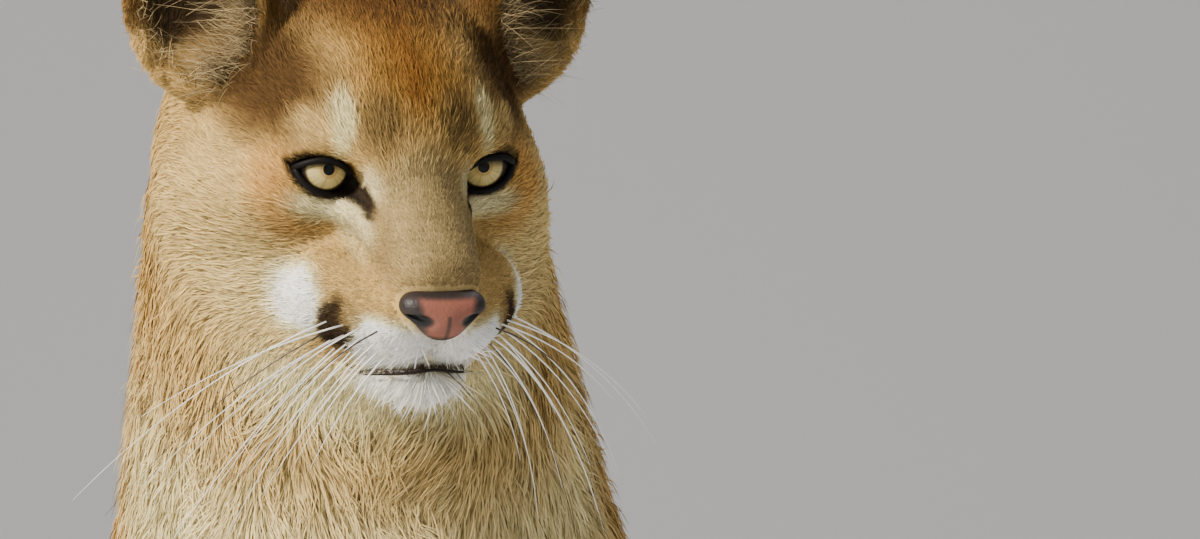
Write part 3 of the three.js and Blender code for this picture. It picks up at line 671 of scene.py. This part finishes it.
# Which way the hair lies
def lie(p):
    """The way that the coat runs, root to tip."""
    q = (p - HEAD_AT) @ HEAD_AXES
    away = q - np.array([0, -78, -44])
    away[:, 2] *= 0.9
    under = smooth(-q[:, 2], 66, 92)[:, None]
    away = away * (1 - under) + np.array([0, 0.75, -0.65]) * 60 * under
    away[:, 0] *= 1.15
    face = away / np.maximum(np.linalg.norm(away, axis=1), 1e-6)[:, None] @ HEAD_AXES.T
    throat = np.array([0, 0.12, -1.0])
    nape = np.array([0, 0.62, -0.75])
    t = smooth(p[:, 1] + (p[:, 2] - 700) * 0.5, -330, -170)[:, None]
    collar = throat * (1 - t) + nape * t
    back = np.array([0, 1.0, -0.22])
    t = smooth(p[:, 1], -240, -120)[:, None]
    body = collar * (1 - t) + back * t
    down = np.tile(np.array([0, 0.16, -1.0]), (len(p), 1))
    t = (smooth(470 - p[:, 2], -20, 90) * (p[:, 1] < 560))[:, None]
    body = body * (1 - t) + down * t
    feet = np.array([0, -0.9, -0.5])
    t = (smooth(78 - p[:, 2], 0, 36) * (p[:, 1] < 560))[:, None]
    body = body * (1 - t) + feet * t
    i = np.argmin(((p[:, None, :] - TAIL_LINE[None, ::2]) ** 2).sum(-1), axis=1)
    way = np.gradient(TAIL_LINE, axis=0)[::2][i]
    way /= np.linalg.norm(way, axis=1)[:, None]
    t = smooth(p[:, 1], 515, 560)[:, None]
    body = body * (1 - t) + way * t
    w = smooth(np.linalg.norm(q - np.array([0, 22, -4]), axis=1), 88, 150)[:, None]
    return face * (1 - w) + body * w


print("forms ready", flush=True)

# The skin: one piece over all the flesh
FINE = 2.1
xs = axis((-152, -84, 8), (-84, -64, 4), (-64, 96, FINE), (96, 120, 4), (120, 176, 8))
ys = axis((-500, -486, 6), (-486, -380, FINE), (-380, -290, FINE * 1.5), (-290, -210, 6), (-210, 600, 9),
          (600, 960, 9))
zs = axis((-6, 30, 4), (30, 90, 5), (90, 560, 10), (560, 690, 8), (690, 740, 4), (740, 890, FINE),
          (890, 984, 3.4))
verts, quads = nets(skin_form, xs, ys, zs)
verts = settle(skin_form, verts)
print("skin", len(verts), "points", len(quads) * 2, "triangles", flush=True)
skin = mesh_object("skin", verts, quads, linear(marks(verts)))


# Materials: each reads its colour from the marks on its mesh
def material(name, rough=0.8, spec=0.3, grain=0.0, size=0.0005, coat=0.0, tone=0.0):
    """grain is the height in metres of a fine relief of the given size, tone how far the colour varies."""
    mat = bpy.data.materials.new(name)
    mat.use_nodes = True
    tree = mat.node_tree
    bsdf = tree.nodes["Principled BSDF"]
    attr = tree.nodes.new("ShaderNodeAttribute")
    attr.attribute_name = "marks"
    bsdf.inputs["Roughness"].default_value = rough
    bsdf.inputs["Specular IOR Level"].default_value = spec
    bsdf.inputs["Coat Weight"].default_value = coat
    bsdf.inputs["Coat Roughness"].default_value = 0.06
    out = attr.outputs["Color"]
    if grain or tone:
        coord = tree.nodes.new("ShaderNodeTexCoord")
        noise = tree.nodes.new("ShaderNodeTexNoise")
        noise.inputs["Scale"].default_value = 1 / size
        noise.inputs["Detail"].default_value = 3
        tree.links.new(coord.outputs["Object"], noise.inputs["Vector"])
        if grain:
            bump = tree.nodes.new("ShaderNodeBump")
            bump.inputs["Strength"].default_value = 0.6
            bump.inputs["Distance"].default_value = grain
            tree.links.new(noise.outputs["Fac"], bump.inputs["Height"])
            tree.links.new(bump.outputs["Normal"], bsdf.inputs["Normal"])
        if tone:
            ramp = tree.nodes.new("ShaderNodeMapRange")
            ramp.inputs["From Min"].default_value = 0.3
            ramp.inputs["From Max"].default_value = 0.7
            ramp.inputs["To Min"].default_value = 1 - tone
            ramp.inputs["To Max"].default_value = 1 + tone
            tree.links.new(noise.outputs["Fac"], ramp.inputs["Value"])
            times = tree.nodes.new("ShaderNodeVectorMath")
            times.operation = "SCALE"
            tree.links.new(out, times.inputs[0])
            tree.links.new(ramp.outputs["Result"], times.inputs["Scale"])
            out = times.outputs["Vector"]
    tree.links.new(out, bsdf.inputs["Base Color"])
    return mat


SKIN = material("coat_ground", 0.9, 0.15, grain=0.0006, size=0.0022, tone=0.14)
FUR = material("coat_locks", 0.8, 0.08)
EYE = material("eyeball", 0.4, 0.08, coat=0.16)
RIM = material("lid_rim", 0.6, 0.15, grain=0.0002, size=0.001)
NOSE = material("nose_leather", 0.5, 0.4, grain=0.0005, size=0.0016)
HAIR = material("whisker", 0.35, 0.5)
CLAW = material("claw", 0.3, 0.5)


def keep(obj, slot, mat, *nodes):
    obj.data.materials.append(mat)
    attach(obj, "root")
    if nodes:
        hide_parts(*nodes)
    return obj


FLESH = [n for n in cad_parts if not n.startswith(("eye_", "nose_"))]
keep(skin, "coat", SKIN, *FLESH)


# Eyes, with a round pupil and a pale iris: the way each looks, and sizes in millimetres
GAZE = {1: (-0.17, -1.0, 0.2), -1: (-0.05, -1.0, 0.22)}
IRIS, PUPIL, CORNEA, BALL_GAP = 10.9, 2.8, 0.9, 0.2


def polar_ball(centre, gaze, radius, rings, around=96):
    """A ball as rings about its gaze, and the angle of each point from it."""
    gaze = gaze / np.linalg.norm(gaze)
    side = np.cross(gaze, [0, 0, 1])
    side /= np.linalg.norm(side)
    up = np.cross(side, gaze)
    pts, angle, turn = [centre + gaze * radius], [0.0], [0.0]
    for a in rings:
        bulge = radius + CORNEA * max(0.0, 1 - (a / math.radians(40)) ** 2)
        for i in range(around):
            b = 2 * math.pi * i / around
            w = gaze * math.cos(a) + (side * math.cos(b) + up * math.sin(b)) * math.sin(a)
            pts.append(centre + w * bulge)
            angle.append(a)
            turn.append(b)
    pts[0] = centre + gaze * (radius + CORNEA)
    pts.append(centre - gaze * radius)
    angle.append(math.pi)
    turn.append(0.0)
    faces = []
    n = len(rings)
    for i in range(around):
        j = (i + 1) % around
        faces.append((0, 1 + i, 1 + j))
        for r in range(n - 1):
            a, b = 1 + r * around, 1 + (r + 1) * around
            faces += [(a + i, b + i, b + j), (a + i, b + j, a + j)]
        a = 1 + (n - 1) * around
        faces.append((a + i, len(pts) - 1, a + j))
    return np.array(pts), np.array(faces), np.array(angle), np.array(turn)


for side, name in ((1, "eye_left"), (-1, "eye_right")):
    centre = head_point(EYE_AT * np.array([side, 1, 1]))
    gaze = np.asarray(GAZE[side]) @ HEAD_AXES.T
    rings = np.radians(np.r_[np.arange(1, 46, 1.0), np.arange(48, 180, 8)])
    pts, faces, angle, turn = polar_ball(centre, gaze, EYE_R - BALL_GAP, rings)
    r = np.sin(np.minimum(angle, math.pi / 2)) * EYE_R
    streak = 0.5 + 0.5 * np.sin(turn * 24 + np.sin(turn * 9) * 2) * np.cos(turn * 41)
    outer, inner, brown = np.array((190, 172, 112.)), np.array((206, 182, 112.)), np.array((128, 92, 46.))
    c = outer + (inner - outer) * (1 - smooth(r, 4, 8))[:, None]
    c = c * (0.86 + 0.22 * streak)[:, None]
    ring = (smooth(r, PUPIL - 0.3, PUPIL + 0.4) * (1 - smooth(r, PUPIL + 0.6, PUPIL + 2.4)))[:, None]
    c = c * (1 - 0.4 * ring) + brown * 0.4 * ring
    limb_dark = smooth(r, IRIS - 1.7, IRIS)[:, None]
    c = c * (1 - limb_dark) + np.array((34, 26, 18.)) * limb_dark
    # Painted shadow of the upper lid and brow: the top of the iris is darkened
    c = c * (1 - 0.85 * smooth(np.sin(turn) * r, -2.0, 5.0))[:, None]
    c = np.where((r < PUPIL)[:, None], np.array((3, 3, 3.)), c)
    keep(mesh_object(name + "_ball", pts, faces, linear(c)), "eye", EYE, name)

# Nose pad
nose_v, nose_q = nets(nose_form, axis((-27, 27, 1.0)), axis((-76, -44, 1.0)), axis((-64, -30, 1.0)))
nose_v = settle(nose_form, nose_v, 2, 0.5)
ax = np.abs(nose_v[:, 0])
pink = smooth(12.5 - ax + 0.3 * (nose_v[:, 2] + 46), -1.5, 3.5) * smooth(nose_v[:, 2], -58, -54)
pink *= smooth(-35.8 - nose_v[:, 2], 0, 2.4)
pink *= 1 - 0.6 * (1 - smooth(ax, 0.3, 1.6)) * (nose_v[:, 2] < -44)
NOSE_DARK, NOSE_PINK = np.array((38.0, 30.0, 28.0)), np.array((134.0, 80.0, 64.0))
c = NOSE_DARK + (NOSE_PINK - NOSE_DARK) * pink[:, None]
# Painted shade inside the nostrils: the colour fades to black over each nostril
from_nostril = (np.c_[ax, nose_v[:, 1:]] - np.array((13.5, -67, -47.5))) / np.array((6.5, 9, 3.6))
hole = np.linalg.norm(from_nostril, axis=1)
c = c * smooth(hole, 0.7, 1.2)[:, None]
keep(mesh_object("nose_leather", head_point(nose_v), nose_q, linear(c)), "nose", NOSE, "nose_pad")

# The coat: many small tapered locks. Their lowest height, half the size of a lock on the unwrap, and the
# brightness above which hair counts as white and keeps pale tips
LOWEST, UV_HALF, PALE = 1.0, 0.0015, 205


def unwrap(p, n):
    """A place on an unwrap of the skin: each region is laid out by the six ways that its skin can face."""
    q, nq = (p - HEAD_AT) @ HEAD_AXES, n @ HEAD_AXES
    is_tail = (p[:, 1] > 545) & (np.linalg.norm(p - TAIL_LINE[np.argmin(
        ((p[:, None] - TAIL_LINE[None]) ** 2).sum(-1), axis=1)], axis=1) < 60)
    is_leg = (p[:, 2] < 470) & ~is_tail
    is_head = (np.linalg.norm(q - np.array([0, 50, -5]), axis=1) < 150) & (p[:, 2] > 690)
    uv = np.zeros((len(p), 2))

    def face_of(m):
        a = np.argmax(np.abs(m), axis=1)
        return a * 2 + (m[np.arange(len(m)), a] > 0), a

    def lay(mask, pts, ways, low, high, tiles):
        if not mask.any():
            return
        t = np.clip((pts[mask] - low) / (np.asarray(high, float) - low), 0.01, 0.99)
        f, a = face_of(ways[mask])
        u = np.where(a == 0, t[:, 1], t[:, 0])
        v = np.where(a == 2, t[:, 1], t[:, 2])
        x0, y0, w, h = (np.array([tiles[i][k] for i in f]) for k in range(4))
        uv[mask] = np.c_[x0 + u * w, y0 + v * h]

    quarter = [(i % 4 / 4, i // 4 / 4, 0.25, 0.25) for i in range(12)]
    lay(is_head, q, nq, (-130, -90, -150), (130, 190, 120), quarter[:6])
    trunk_like = ~(is_head | is_leg | is_tail)
    lay(trunk_like, p, n, (-140, -480, 400), (160, 560, 860), quarter[6:])
    for row, (mask, low, high) in enumerate((
            (is_leg & (p[:, 0] > 0) & (p[:, 1] < 0), (0, -360, 0), (150, -40, 480)),
            (is_leg & (p[:, 0] <= 0) & (p[:, 1] < 0), (-150, -360, 0), (0, -40, 480)),
            (is_leg & (p[:, 0] > 0) & (p[:, 1] >= 0), (0, 200, 0), (150, 570, 480)),
            (is_leg & (p[:, 0] <= 0) & (p[:, 1] >= 0), (-150, 200, 0), (0, 570, 480)),
            (is_tail, (-60, 480, 140), (60, 940, 640)))):
        tiles = [(0.2 * row + 0.05 * (k % 4), 0.75 + 0.125 * (k // 4), 0.05, 0.125) for k in range(6)]
        lay(mask, p, n, low, high, tiles)
    return uv


tris = np.vstack([quads[:, [0, 1, 2]], quads[:, [0, 2, 3]]])
corner = verts[tris]
cross = np.cross(corner[:, 1] - corner[:, 0], corner[:, 2] - corner[:, 0])
area = np.linalg.norm(cross, axis=1) / 2
vert_normal = np.zeros_like(verts)
for k in range(3):
    np.add.at(vert_normal, tris[:, k], cross)
vert_normal /= np.maximum(np.linalg.norm(vert_normal, axis=1), 1e-9)[:, None]
middle = corner.mean(1)
middle_q = (middle - HEAD_AT) @ HEAD_AXES
KEEP_CLEAR = np.ones(len(tris))
mx = np.abs(middle_q[:, 0])
KEEP_CLEAR[(lid_distance(mx, middle_q[:, 2]) < 1.2) & (middle_q[:, 1] < 24)] = 0
KEEP_CLEAR[nose_form(middle_q.astype(np.float32)) < 1.5] = 0
KEEP_CLEAR[middle[:, 2] < 5] = 0
lip_off = np.abs(middle_q[:, 2] - lip_height(mx) + 0.5)
KEEP_CLEAR[(lip_off < 0.9) & (mx < 30) & (middle_q[:, 1] < -25)] = 0


def locks(name, count, weight, length, width, lift, clump, pull, wave=0.25, dark_tips=0.3, root_tone=0.62,
          rolls=0.45, bent=True, uneven=0.13):
    """Many thin locks over the skin. weight, length and width are arrays over the skin's triangles.

    lift raises the tips. clump is the size in millimetres of the cells whose tips pull draws together. wave
    turns the lie, dark_tips is the share with a dark tip, root_tone darkens the roots as painted shade deep
    in the coat, for tawny hair partly its own darker base, and rolls turns a lock about itself. A bent lock
    has a middle. uneven varies the tone from lock to lock.
    """
    w = area * weight * KEEP_CLEAR
    pick = rng.choice(len(tris), size=count, p=w / w.sum())
    b = rng.random((count, 2))
    flip = b.sum(1) > 1
    b[flip] = 1 - b[flip]
    b = np.c_[1 - b.sum(1), b]
    root = (corner[pick] * b[:, :, None]).sum(1)
    normal = (vert_normal[tris[pick]] * b[:, :, None]).sum(1)
    normal /= np.linalg.norm(normal, axis=1)[:, None]
    way = lie(root)
    way -= normal * (way * normal).sum(1)[:, None]
    way /= np.maximum(np.linalg.norm(way, axis=1), 1e-6)[:, None]
    side = np.cross(normal, way)
    turn = lumps(root, 46, 3) * wave + lumps(root, 17, 5) * wave * 0.6 + rng.normal(0, 0.14, count)
    way = way * np.cos(turn)[:, None] + side * np.sin(turn)[:, None]
    side = np.cross(normal, way)
    roll = np.clip(rng.normal(0, rolls, count), -1.2, 1.2)[:, None]
    flat = side * np.cos(roll) + normal * np.sin(roll)
    long = (length[pick] * rng.uniform(0.65, 1.25, count))[:, None]
    wide = (width[pick] * rng.uniform(0.7, 1.3, count))[:, None] / 2
    up = (np.clip(rng.normal(lift, lift * 0.4, count), 0.03, 1.2))[:, None]
    cell = np.floor(root / clump).astype(np.int64)
    key = (cell[:, 0] * 73856093) ^ (cell[:, 1] * 19349663) ^ (cell[:, 2] * 83492791)
    noise = np.stack([np.modf(np.abs(np.sin(key * 0.0001 + k * 1.7)) * 437.5)[0] for k in range(4)], 1)
    centre = (cell + 0.2 + 0.6 * noise[:, :3]) * clump
    toward = centre - root
    toward -= normal * (toward * normal).sum(1)[:, None]
    mid = root + way * long * 0.5 + normal * long * up * 0.40 + toward * pull * 0.35
    tip = root + way * long * 0.96 + normal * long * up * 0.52 + toward * pull
    root = root - normal * 0.4
    ends = [root - flat * wide, root + flat * wide]
    if bent:
        ends += [mid - flat * wide * 0.8, mid + flat * wide * 0.8]
    pts = np.stack(ends + [tip], 1)
    pts[..., 2] = np.maximum(pts[..., 2], LOWEST)
    base = marks(root)
    tone = rng.normal(1.0, uneven, count) * (0.9 + 0.2 * noise[:, 3])
    grey = rng.random(count) < dark_tips
    tip_tone = np.where(grey, 0.5, 1.22)
    pale = base.mean(1) > PALE
    tip_tone = np.where(pale, 1.05, tip_tone)
    # Painted shade at the roots, deep in the coat: white hair gets less of it; on tawny hair the darker root
    # is partly its own colour
    shaded_root = np.where(pale, 0.86, root_tone)
    lin = linear(base)
    steps = [shaded_root, shaded_root] + ([np.ones(count)] * 2 if bent else []) + [tip_tone]
    shade = np.stack(steps, 1) * tone[:, None]
    colour = np.clip(lin[:, None, :] * shade[:, :, None], 0, 0.95)
    place = unwrap(root, normal)
    patch, faces = np.array([(-1, -1), (1, -1), (0, 1)]), np.array([(0, 2, 1)])
    if bent:
        patch = np.array([(-1, -1), (1, -1), (-0.8, 0.2), (0.8, 0.2), (0, 1)])
        faces = np.array([(0, 3, 1), (0, 2, 3), (2, 4, 3)])
    around = place[:, None, :] + patch[None] * UV_HALF
    start = (np.arange(count) * len(patch))[:, None, None]
    tri = (start + faces[None]).reshape(-1, 3)
    uv = around[:, faces.ravel()].reshape(-1, 2)
    obj = mesh_object(name, pts.reshape(-1, 3), tri, colour.reshape(-1, 3), uv)
    own = np.cross(way * 0.94 + normal * up * 0.5, flat)
    own /= np.linalg.norm(own, axis=1)[:, None]
    soft = normal * 0.7 + own * 0.45
    soft /= np.linalg.norm(soft, axis=1)[:, None]
    obj.data.normals_split_custom_set_from_vertices(np.repeat(soft, len(patch), axis=0))
    return keep(obj, "coat", FUR)


from_mid = np.linalg.norm(middle_q - np.array([0, 50, -5]), axis=1)
on_ear = 1 - smooth(near_either_ear(middle_q, 6, (44, 34, 54)), 0.95, 1.25)
on_head = np.maximum(1 - smooth(from_mid, 118, 150), on_ear)
from_muzzle = np.linalg.norm((middle_q - np.array([0, -30, -40])) / np.array([1, 1, 1.1]), axis=1)
muzzle = 1 - smooth(from_muzzle, 30, 62)
near_eye = 1 - smooth(lid_distance(mx, middle_q[:, 2]), 2, 16)
near_eye *= middle_q[:, 1] < 34
lower = smooth(-middle_q[:, 2], 0, 50) * smooth(middle_q[:, 1], 10, 60)
from_chin = np.linalg.norm((middle_q - np.array([0, -30, -86])) / np.array([34, 30, 18]), axis=1)
chin = 1 - smooth(from_chin, 0.8, 1.2)
near_lip = (1 - smooth(lip_off, 1.5, 6)) * (middle_q[:, 1] < -15) * (mx < 34)
head_length = 5.2 - 2.1 * muzzle + 6.4 * lower * (1 - muzzle) - 1.6 * near_eye + 4.5 * chin
head_length = np.maximum(head_length * (1 - 0.2 * on_ear) * (1 - 0.55 * near_lip), 2.2)
head_width = 0.24 + 0.03 * head_length
facing = smooth(-(cross / np.maximum(area, 1e-9)[:, None] / 2)[:, 1], -0.5, 0.3)
on_face = on_head * (0.2 + facing) * (1.0 + 1.2 * muzzle + near_eye)
for n in ("a", "b", "c"):
    locks("coat_face_" + n, 196000, on_face, head_length, head_width, lift=0.28, clump=5.0, pull=0.14,
          wave=0.14, dark_tips=0.4, root_tone=0.6, rolls=0.6, bent=False, uneven=0.26)
locks("coat_head", 45000, on_head * (1 - muzzle), head_length * 1.45, head_width * 1.5, lift=0.32, clump=9.0,
      pull=0.3, wave=0.2, dark_tips=0.3, root_tone=0.7)
rest = 1 - on_head
on_neck = rest * (1 - smooth(middle[:, 1], -200, -120)) * smooth(middle[:, 2], 470, 560)
on_leg = rest * (1 - smooth(middle[:, 2], 400, 470)) * (middle[:, 1] < 556)
on_tail = rest * (middle[:, 1] >= 530)
on_body = np.clip(rest - on_neck - on_leg - on_tail, 0, 1)
ones = np.ones(len(tris))
locks("coat_neck_a", 190000, on_neck * (0.3 + facing), ones * 13, ones * 0.55, lift=0.32, clump=10.0,
      pull=0.25, wave=0.4, dark_tips=0.25, root_tone=0.75, rolls=0.5, bent=False, uneven=0.18)
locks("coat_neck_b", 56000, on_neck * (0.3 + facing), ones * 22, ones * 0.85, lift=0.38, clump=16.0,
      pull=0.5, wave=0.6, dark_tips=0.2, root_tone=0.8)
locks("coat_body", 42000, on_body, ones * 26, ones * 3.0, lift=0.16, clump=22.0, pull=0.3, wave=0.2)
leg_length = 7 + 11 * smooth(middle[:, 2], 60, 380)
leg_width = 0.9 + leg_length * 0.08
locks("coat_legs", 38000, on_leg, leg_length, leg_width, lift=0.17, clump=12.0, pull=0.25, wave=0.15)
locks("coat_tail", 14000, on_tail, ones * 22, ones * 2.2, lift=0.16, clump=14.0, pull=0.3, wave=0.15)
print("coat ready", flush=True)


# Lids, lips, whiskers, ear hair and claws: tapered tubes along paths
def tube(points, radii, around=6):
    """A tapered tube through points, closed at both ends."""
    pts = np.asarray(points, float)
    way = np.gradient(pts, axis=0)
    way /= np.linalg.norm(way, axis=1)[:, None]
    side = np.cross(way, (0.31, 0.2, 0.93))
    side /= np.linalg.norm(side, axis=1)[:, None]
    up = np.cross(side, way)
    a = np.arange(around) * 2 * math.pi / around
    ring = side[:, None] * np.cos(a)[None, :, None] + up[:, None] * np.sin(a)[None, :, None]
    v = (pts[:, None] + ring * np.asarray(radii, float)[:, None, None]).reshape(-1, 3)
    n = len(pts)
    f = []
    for i in range(n - 1):
        for k in range(around):
            m = (k + 1) % around
            a0, b0 = i * around, (i + 1) * around
            f += [(a0 + k, a0 + m, b0 + m), (a0 + k, b0 + m, b0 + k)]
    v = np.vstack([v, pts[:1], pts[-1:]])
    for k in range(around):
        m = (k + 1) % around
        f += [(len(v) - 2, m, k), (len(v) - 1, (n - 1) * around + k, (n - 1) * around + m)]
    return v, np.array(f)


def joined(pieces):
    """Tubes with one colour each as one mesh: its points, its faces and the colour of each point."""
    vs, fs, cs, n = [], [], [], 0
    for v, f, c in pieces:
        vs.append(v)
        fs.append(f + n)
        cs.append(np.tile(c, (len(v), 1)))
        n += len(v)
    return np.vstack(vs), np.vstack(fs), linear(np.vstack(cs))


def on_ball(x, z, side, r):
    """The point of the eyeball, swollen to r, that lies behind a point of the head's front view."""
    dx, dz = x - EYE_AT[0], z - EYE_AT[2]
    y = EYE_AT[1] - math.sqrt(max(r * r - dx * dx - dz * dz, 6.0))
    return head_point((side * x, y, z))


rims = []
for side in (1, -1):
    line = lid_line(30)
    line = np.vstack([line, line[:2]])
    pts = [on_ball(x, z, side, EYE_R + 1.2) for x, z in line]
    rims.append((*tube(pts, np.full(len(pts), 1.6), 8), np.array((11., 8, 7))))
v, f, c = joined(rims)
keep(mesh_object("lid_rims", v, f, c), "nose", RIM)

lip_x = np.linspace(-LIP_HALF_WIDTH, LIP_HALF_WIDTH, 37)
lip_line = np.c_[lip_x, np.full(37, -66.0), lip_height(lip_x) - 0.4]
for _ in range(12):
    lip_line[:, 1] += np.clip(head_form(lip_line.astype(np.float32)), -6, 6) * 0.8
lip_thick = 0.25 + 0.6 * (1 - (lip_x / LIP_HALF_WIDTH) ** 2)
v, f = tube(head_point(lip_line), lip_thick, 6)
keep(mesh_object("lip_line", v, f, linear(np.tile((34., 26, 22), (len(v), 1)))), "nose", RIM)

# Whiskers, shortened where they would reach far past the solids' box
whiskers = []
BOX_LOW, BOX_HIGH = (np.array(v) * 1000 - SHIFT for v in CAD_BOX)
MOST_PAST = 8
for side in (1, -1):
    for row in range(4):
        for k in range(4):
            at = np.array([side * (25 + 5.4 * k), -50 + 8 * k, -56 - 5.6 * row - 1.2 * k])
            for _ in range(3):
                off = float(head_form(at[None].astype(np.float32))[0])
                at = at - np.array([side * 0.8, -0.6, -0.1]) * off
            long = (52 + 24 * k) * rng.uniform(0.8, 1.12)
            down = -0.26 - 0.2 * row + rng.normal(0, 0.08)
            out = np.array([side * (0.86 - 0.04 * k), -0.30 + 0.16 * k, down])
            out /= np.linalg.norm(out)
            u = np.linspace(0, 1, 14)[:, None]
            sag = np.array([side * -0.10, 0.12, -0.30 + rng.normal(0, 0.06)])
            pts = head_point(at + out * long * u + sag * long * u * u)
            over = max((pts - BOX_HIGH).max(), (BOX_LOW - pts).max())
            if over > MOST_PAST:
                pts = pts[0] + (pts - pts[0]) * max(0.5, 1 - (over - MOST_PAST + 2) / long)
            dark = rng.random() < 0.12
            tint = np.array((60., 48, 38)) if dark else np.array((243., 241, 234))
            whiskers.append((*tube(pts, 0.42 * (1 - 0.85 * u[:, 0]) + 0.04, 4), tint))

# Ear hair: from the inner rim of each cup, and shorter from the outer rim
ear_hair = []
for side in (1, -1):
    axes = ear_axes(side)
    at = np.array([side * EAR_AT[0], EAR_AT[1], EAR_AT[2]])
    for _ in range(1100):
        inner = rng.random() < 0.78
        a = rng.uniform(-0.62, 0.42) * math.pi if inner else rng.uniform(-0.45, 0.5) * math.pi
        out = -side if inner else side
        reach = rng.uniform(0.7, 1.0)
        wide, high = 32 * reach, 40 * reach
        rim = np.array([out * abs(math.cos(a)) * wide, -7.0 + rng.normal(0, 3), math.sin(a) * high + 2])
        way = np.array([side * (0.5 if inner else -0.3), -0.5, 0.8]) + rng.normal(0, 0.45, 3)
        long = rng.uniform(6, 20) * (1.0 if inner else 0.5)
        u = np.linspace(0, 1, 6)[:, None]
        bend = np.array([side * 0.45, 0.35, -0.25]) + rng.normal(0, 0.35, 3)
        pts = head_point(at + (rim + way * long * u + bend * long * u * u) @ axes.T)
        tint = np.array((196., 172, 126)) * rng.uniform(0.4, 1.1)
        ear_hair.append((*tube(pts, 0.14 * (1 - 0.8 * u[:, 0]) + 0.02, 3), tint))
v, f, c = joined(ear_hair)
keep(mesh_object("ear_hair", v, f, c), "coat", FUR)

v, f, c = joined(whiskers)
keep(mesh_object("whiskers", v, f, c), "coat", HAIR)

claws = []
FEET = [(FORE, fore_joints, PAW_HALF_WIDTH, PAW_LONG),
        (HIND, hind_joints, HIND_PAW_HALF_WIDTH, HIND_PAW_LONG)]
for feet, joints, half, long in FEET:
    for side, shift in feet:
        for x, y, _, _, ry, _ in toe_places(joints(side, shift)["paw"], half, long):
            u = np.linspace(0, 1, 6)[:, None]
            root = np.array([x, y - ry + 3, 15.0])
            path = root + np.array([0, -7.0, -1.5]) * u + np.array([0, 0, -4.0]) * u * u
            thick = 2.0 * (1 - u[:, 0]) ** 0.7 + 0.25
            claws.append((*tube(path, thick, 6), np.array((96., 84, 72))))
v, f, c = joined(claws)
keep(mesh_object("claws", v, f, c), "nose", CLAW)

# Ground, light and camera
HEAD_M = metres(HEAD_AT)


def add_light(name, at, target, size, power, tint=(1, 1, 1)):
    """An area light. at and target are in metres from the head, size is its side in metres."""
    data = bpy.data.lights.new(name, "AREA")
    data.energy, data.size, data.color = power, size, tint
    obj = bpy.data.objects.new(name, data)
    bpy.context.scene.collection.objects.link(obj)
    obj.location = HEAD_M + np.array(at)
    obj.rotation_euler = Vector(np.subtract(target, at)).to_track_quat("-Z", "Y").to_euler()


# A paper sweep, in metres: flat under the animal, a round bend behind it, then upright
FRONT, BEND_AT, BEND_R, TOP, HALF_WIDTH = -7.0, 3.5, 2.5, 9.0, 9
turns = np.linspace(0, math.pi / 2, 24)
bend = [(BEND_AT + BEND_R * math.sin(a), BEND_R - BEND_R * math.cos(a)) for a in turns]
profile = [(FRONT, 0.0), *bend, (BEND_AT + BEND_R, TOP)]
sweep = bpy.data.meshes.new("sweep")
sweep.from_pydata([(x, y, z) for y, z in profile for x in (-HALF_WIDTH, HALF_WIDTH)], [],
                  [(2 * i, 2 * i + 1, 2 * i + 3, 2 * i + 2) for i in range(len(profile) - 1)])
for poly in sweep.polygons:
    poly.use_smooth = True
floor = bpy.data.objects.new("sweep", sweep)
bpy.context.scene.collection.objects.link(floor)
paper = bpy.data.materials.new("sweep_paper")
paper.use_nodes = True
look = paper.node_tree.nodes["Principled BSDF"].inputs
look["Base Color"].default_value = (0.72, 0.72, 0.71, 1)
look["Roughness"].default_value = 0.9
floor.data.materials.append(paper)

add_light("key", (-2.3, -1.9, 1.9), (0, 0.05, -0.05), size=0.6, power=320, tint=(1.0, 0.94, 0.84))
add_light("fill", (2.4, -2.6, 0.5), (0, 0, 0), size=2.4, power=14, tint=(0.92, 0.96, 1.0))
add_light("top", (0.4, 1.4, 2.8), (0, 0.5, -0.3), size=2.5, power=60)
world = bpy.data.worlds.new("studio")
bpy.context.scene.world = world
world.use_nodes = True
world.node_tree.nodes["Background"].inputs["Color"].default_value = (0.9, 0.93, 1.0, 1)
world.node_tree.nodes["Background"].inputs["Strength"].default_value = 0.30

# The photo's size in pixels, where in it the head's middle is, and how many pixels a millimetre takes there
PHOTO_WIDTH, PHOTO_HEIGHT = 1200, 539
HEAD_PIXEL, PX_PER_MM = (412.2, 176.4), 2.128
FAR_M, SENSOR = 3.2, 36
camera = bpy.data.objects.new("camera", bpy.data.cameras.new("camera"))
bpy.context.scene.collection.objects.link(camera)
camera.data.sensor_width = SENSOR
camera.data.lens = SENSOR * FAR_M * 1000 * PX_PER_MM / PHOTO_WIDTH
camera.data.clip_end = 50
aside = (PHOTO_WIDTH / 2 - HEAD_PIXEL[0]) / PX_PER_MM / 1000
above = (HEAD_PIXEL[1] - PHOTO_HEIGHT / 2) / PX_PER_MM / 1000
camera.location = HEAD_M + np.array([aside, -FAR_M, above])
camera.rotation_euler = (math.pi / 2, 0, 0)
bpy.context.scene.camera = camera
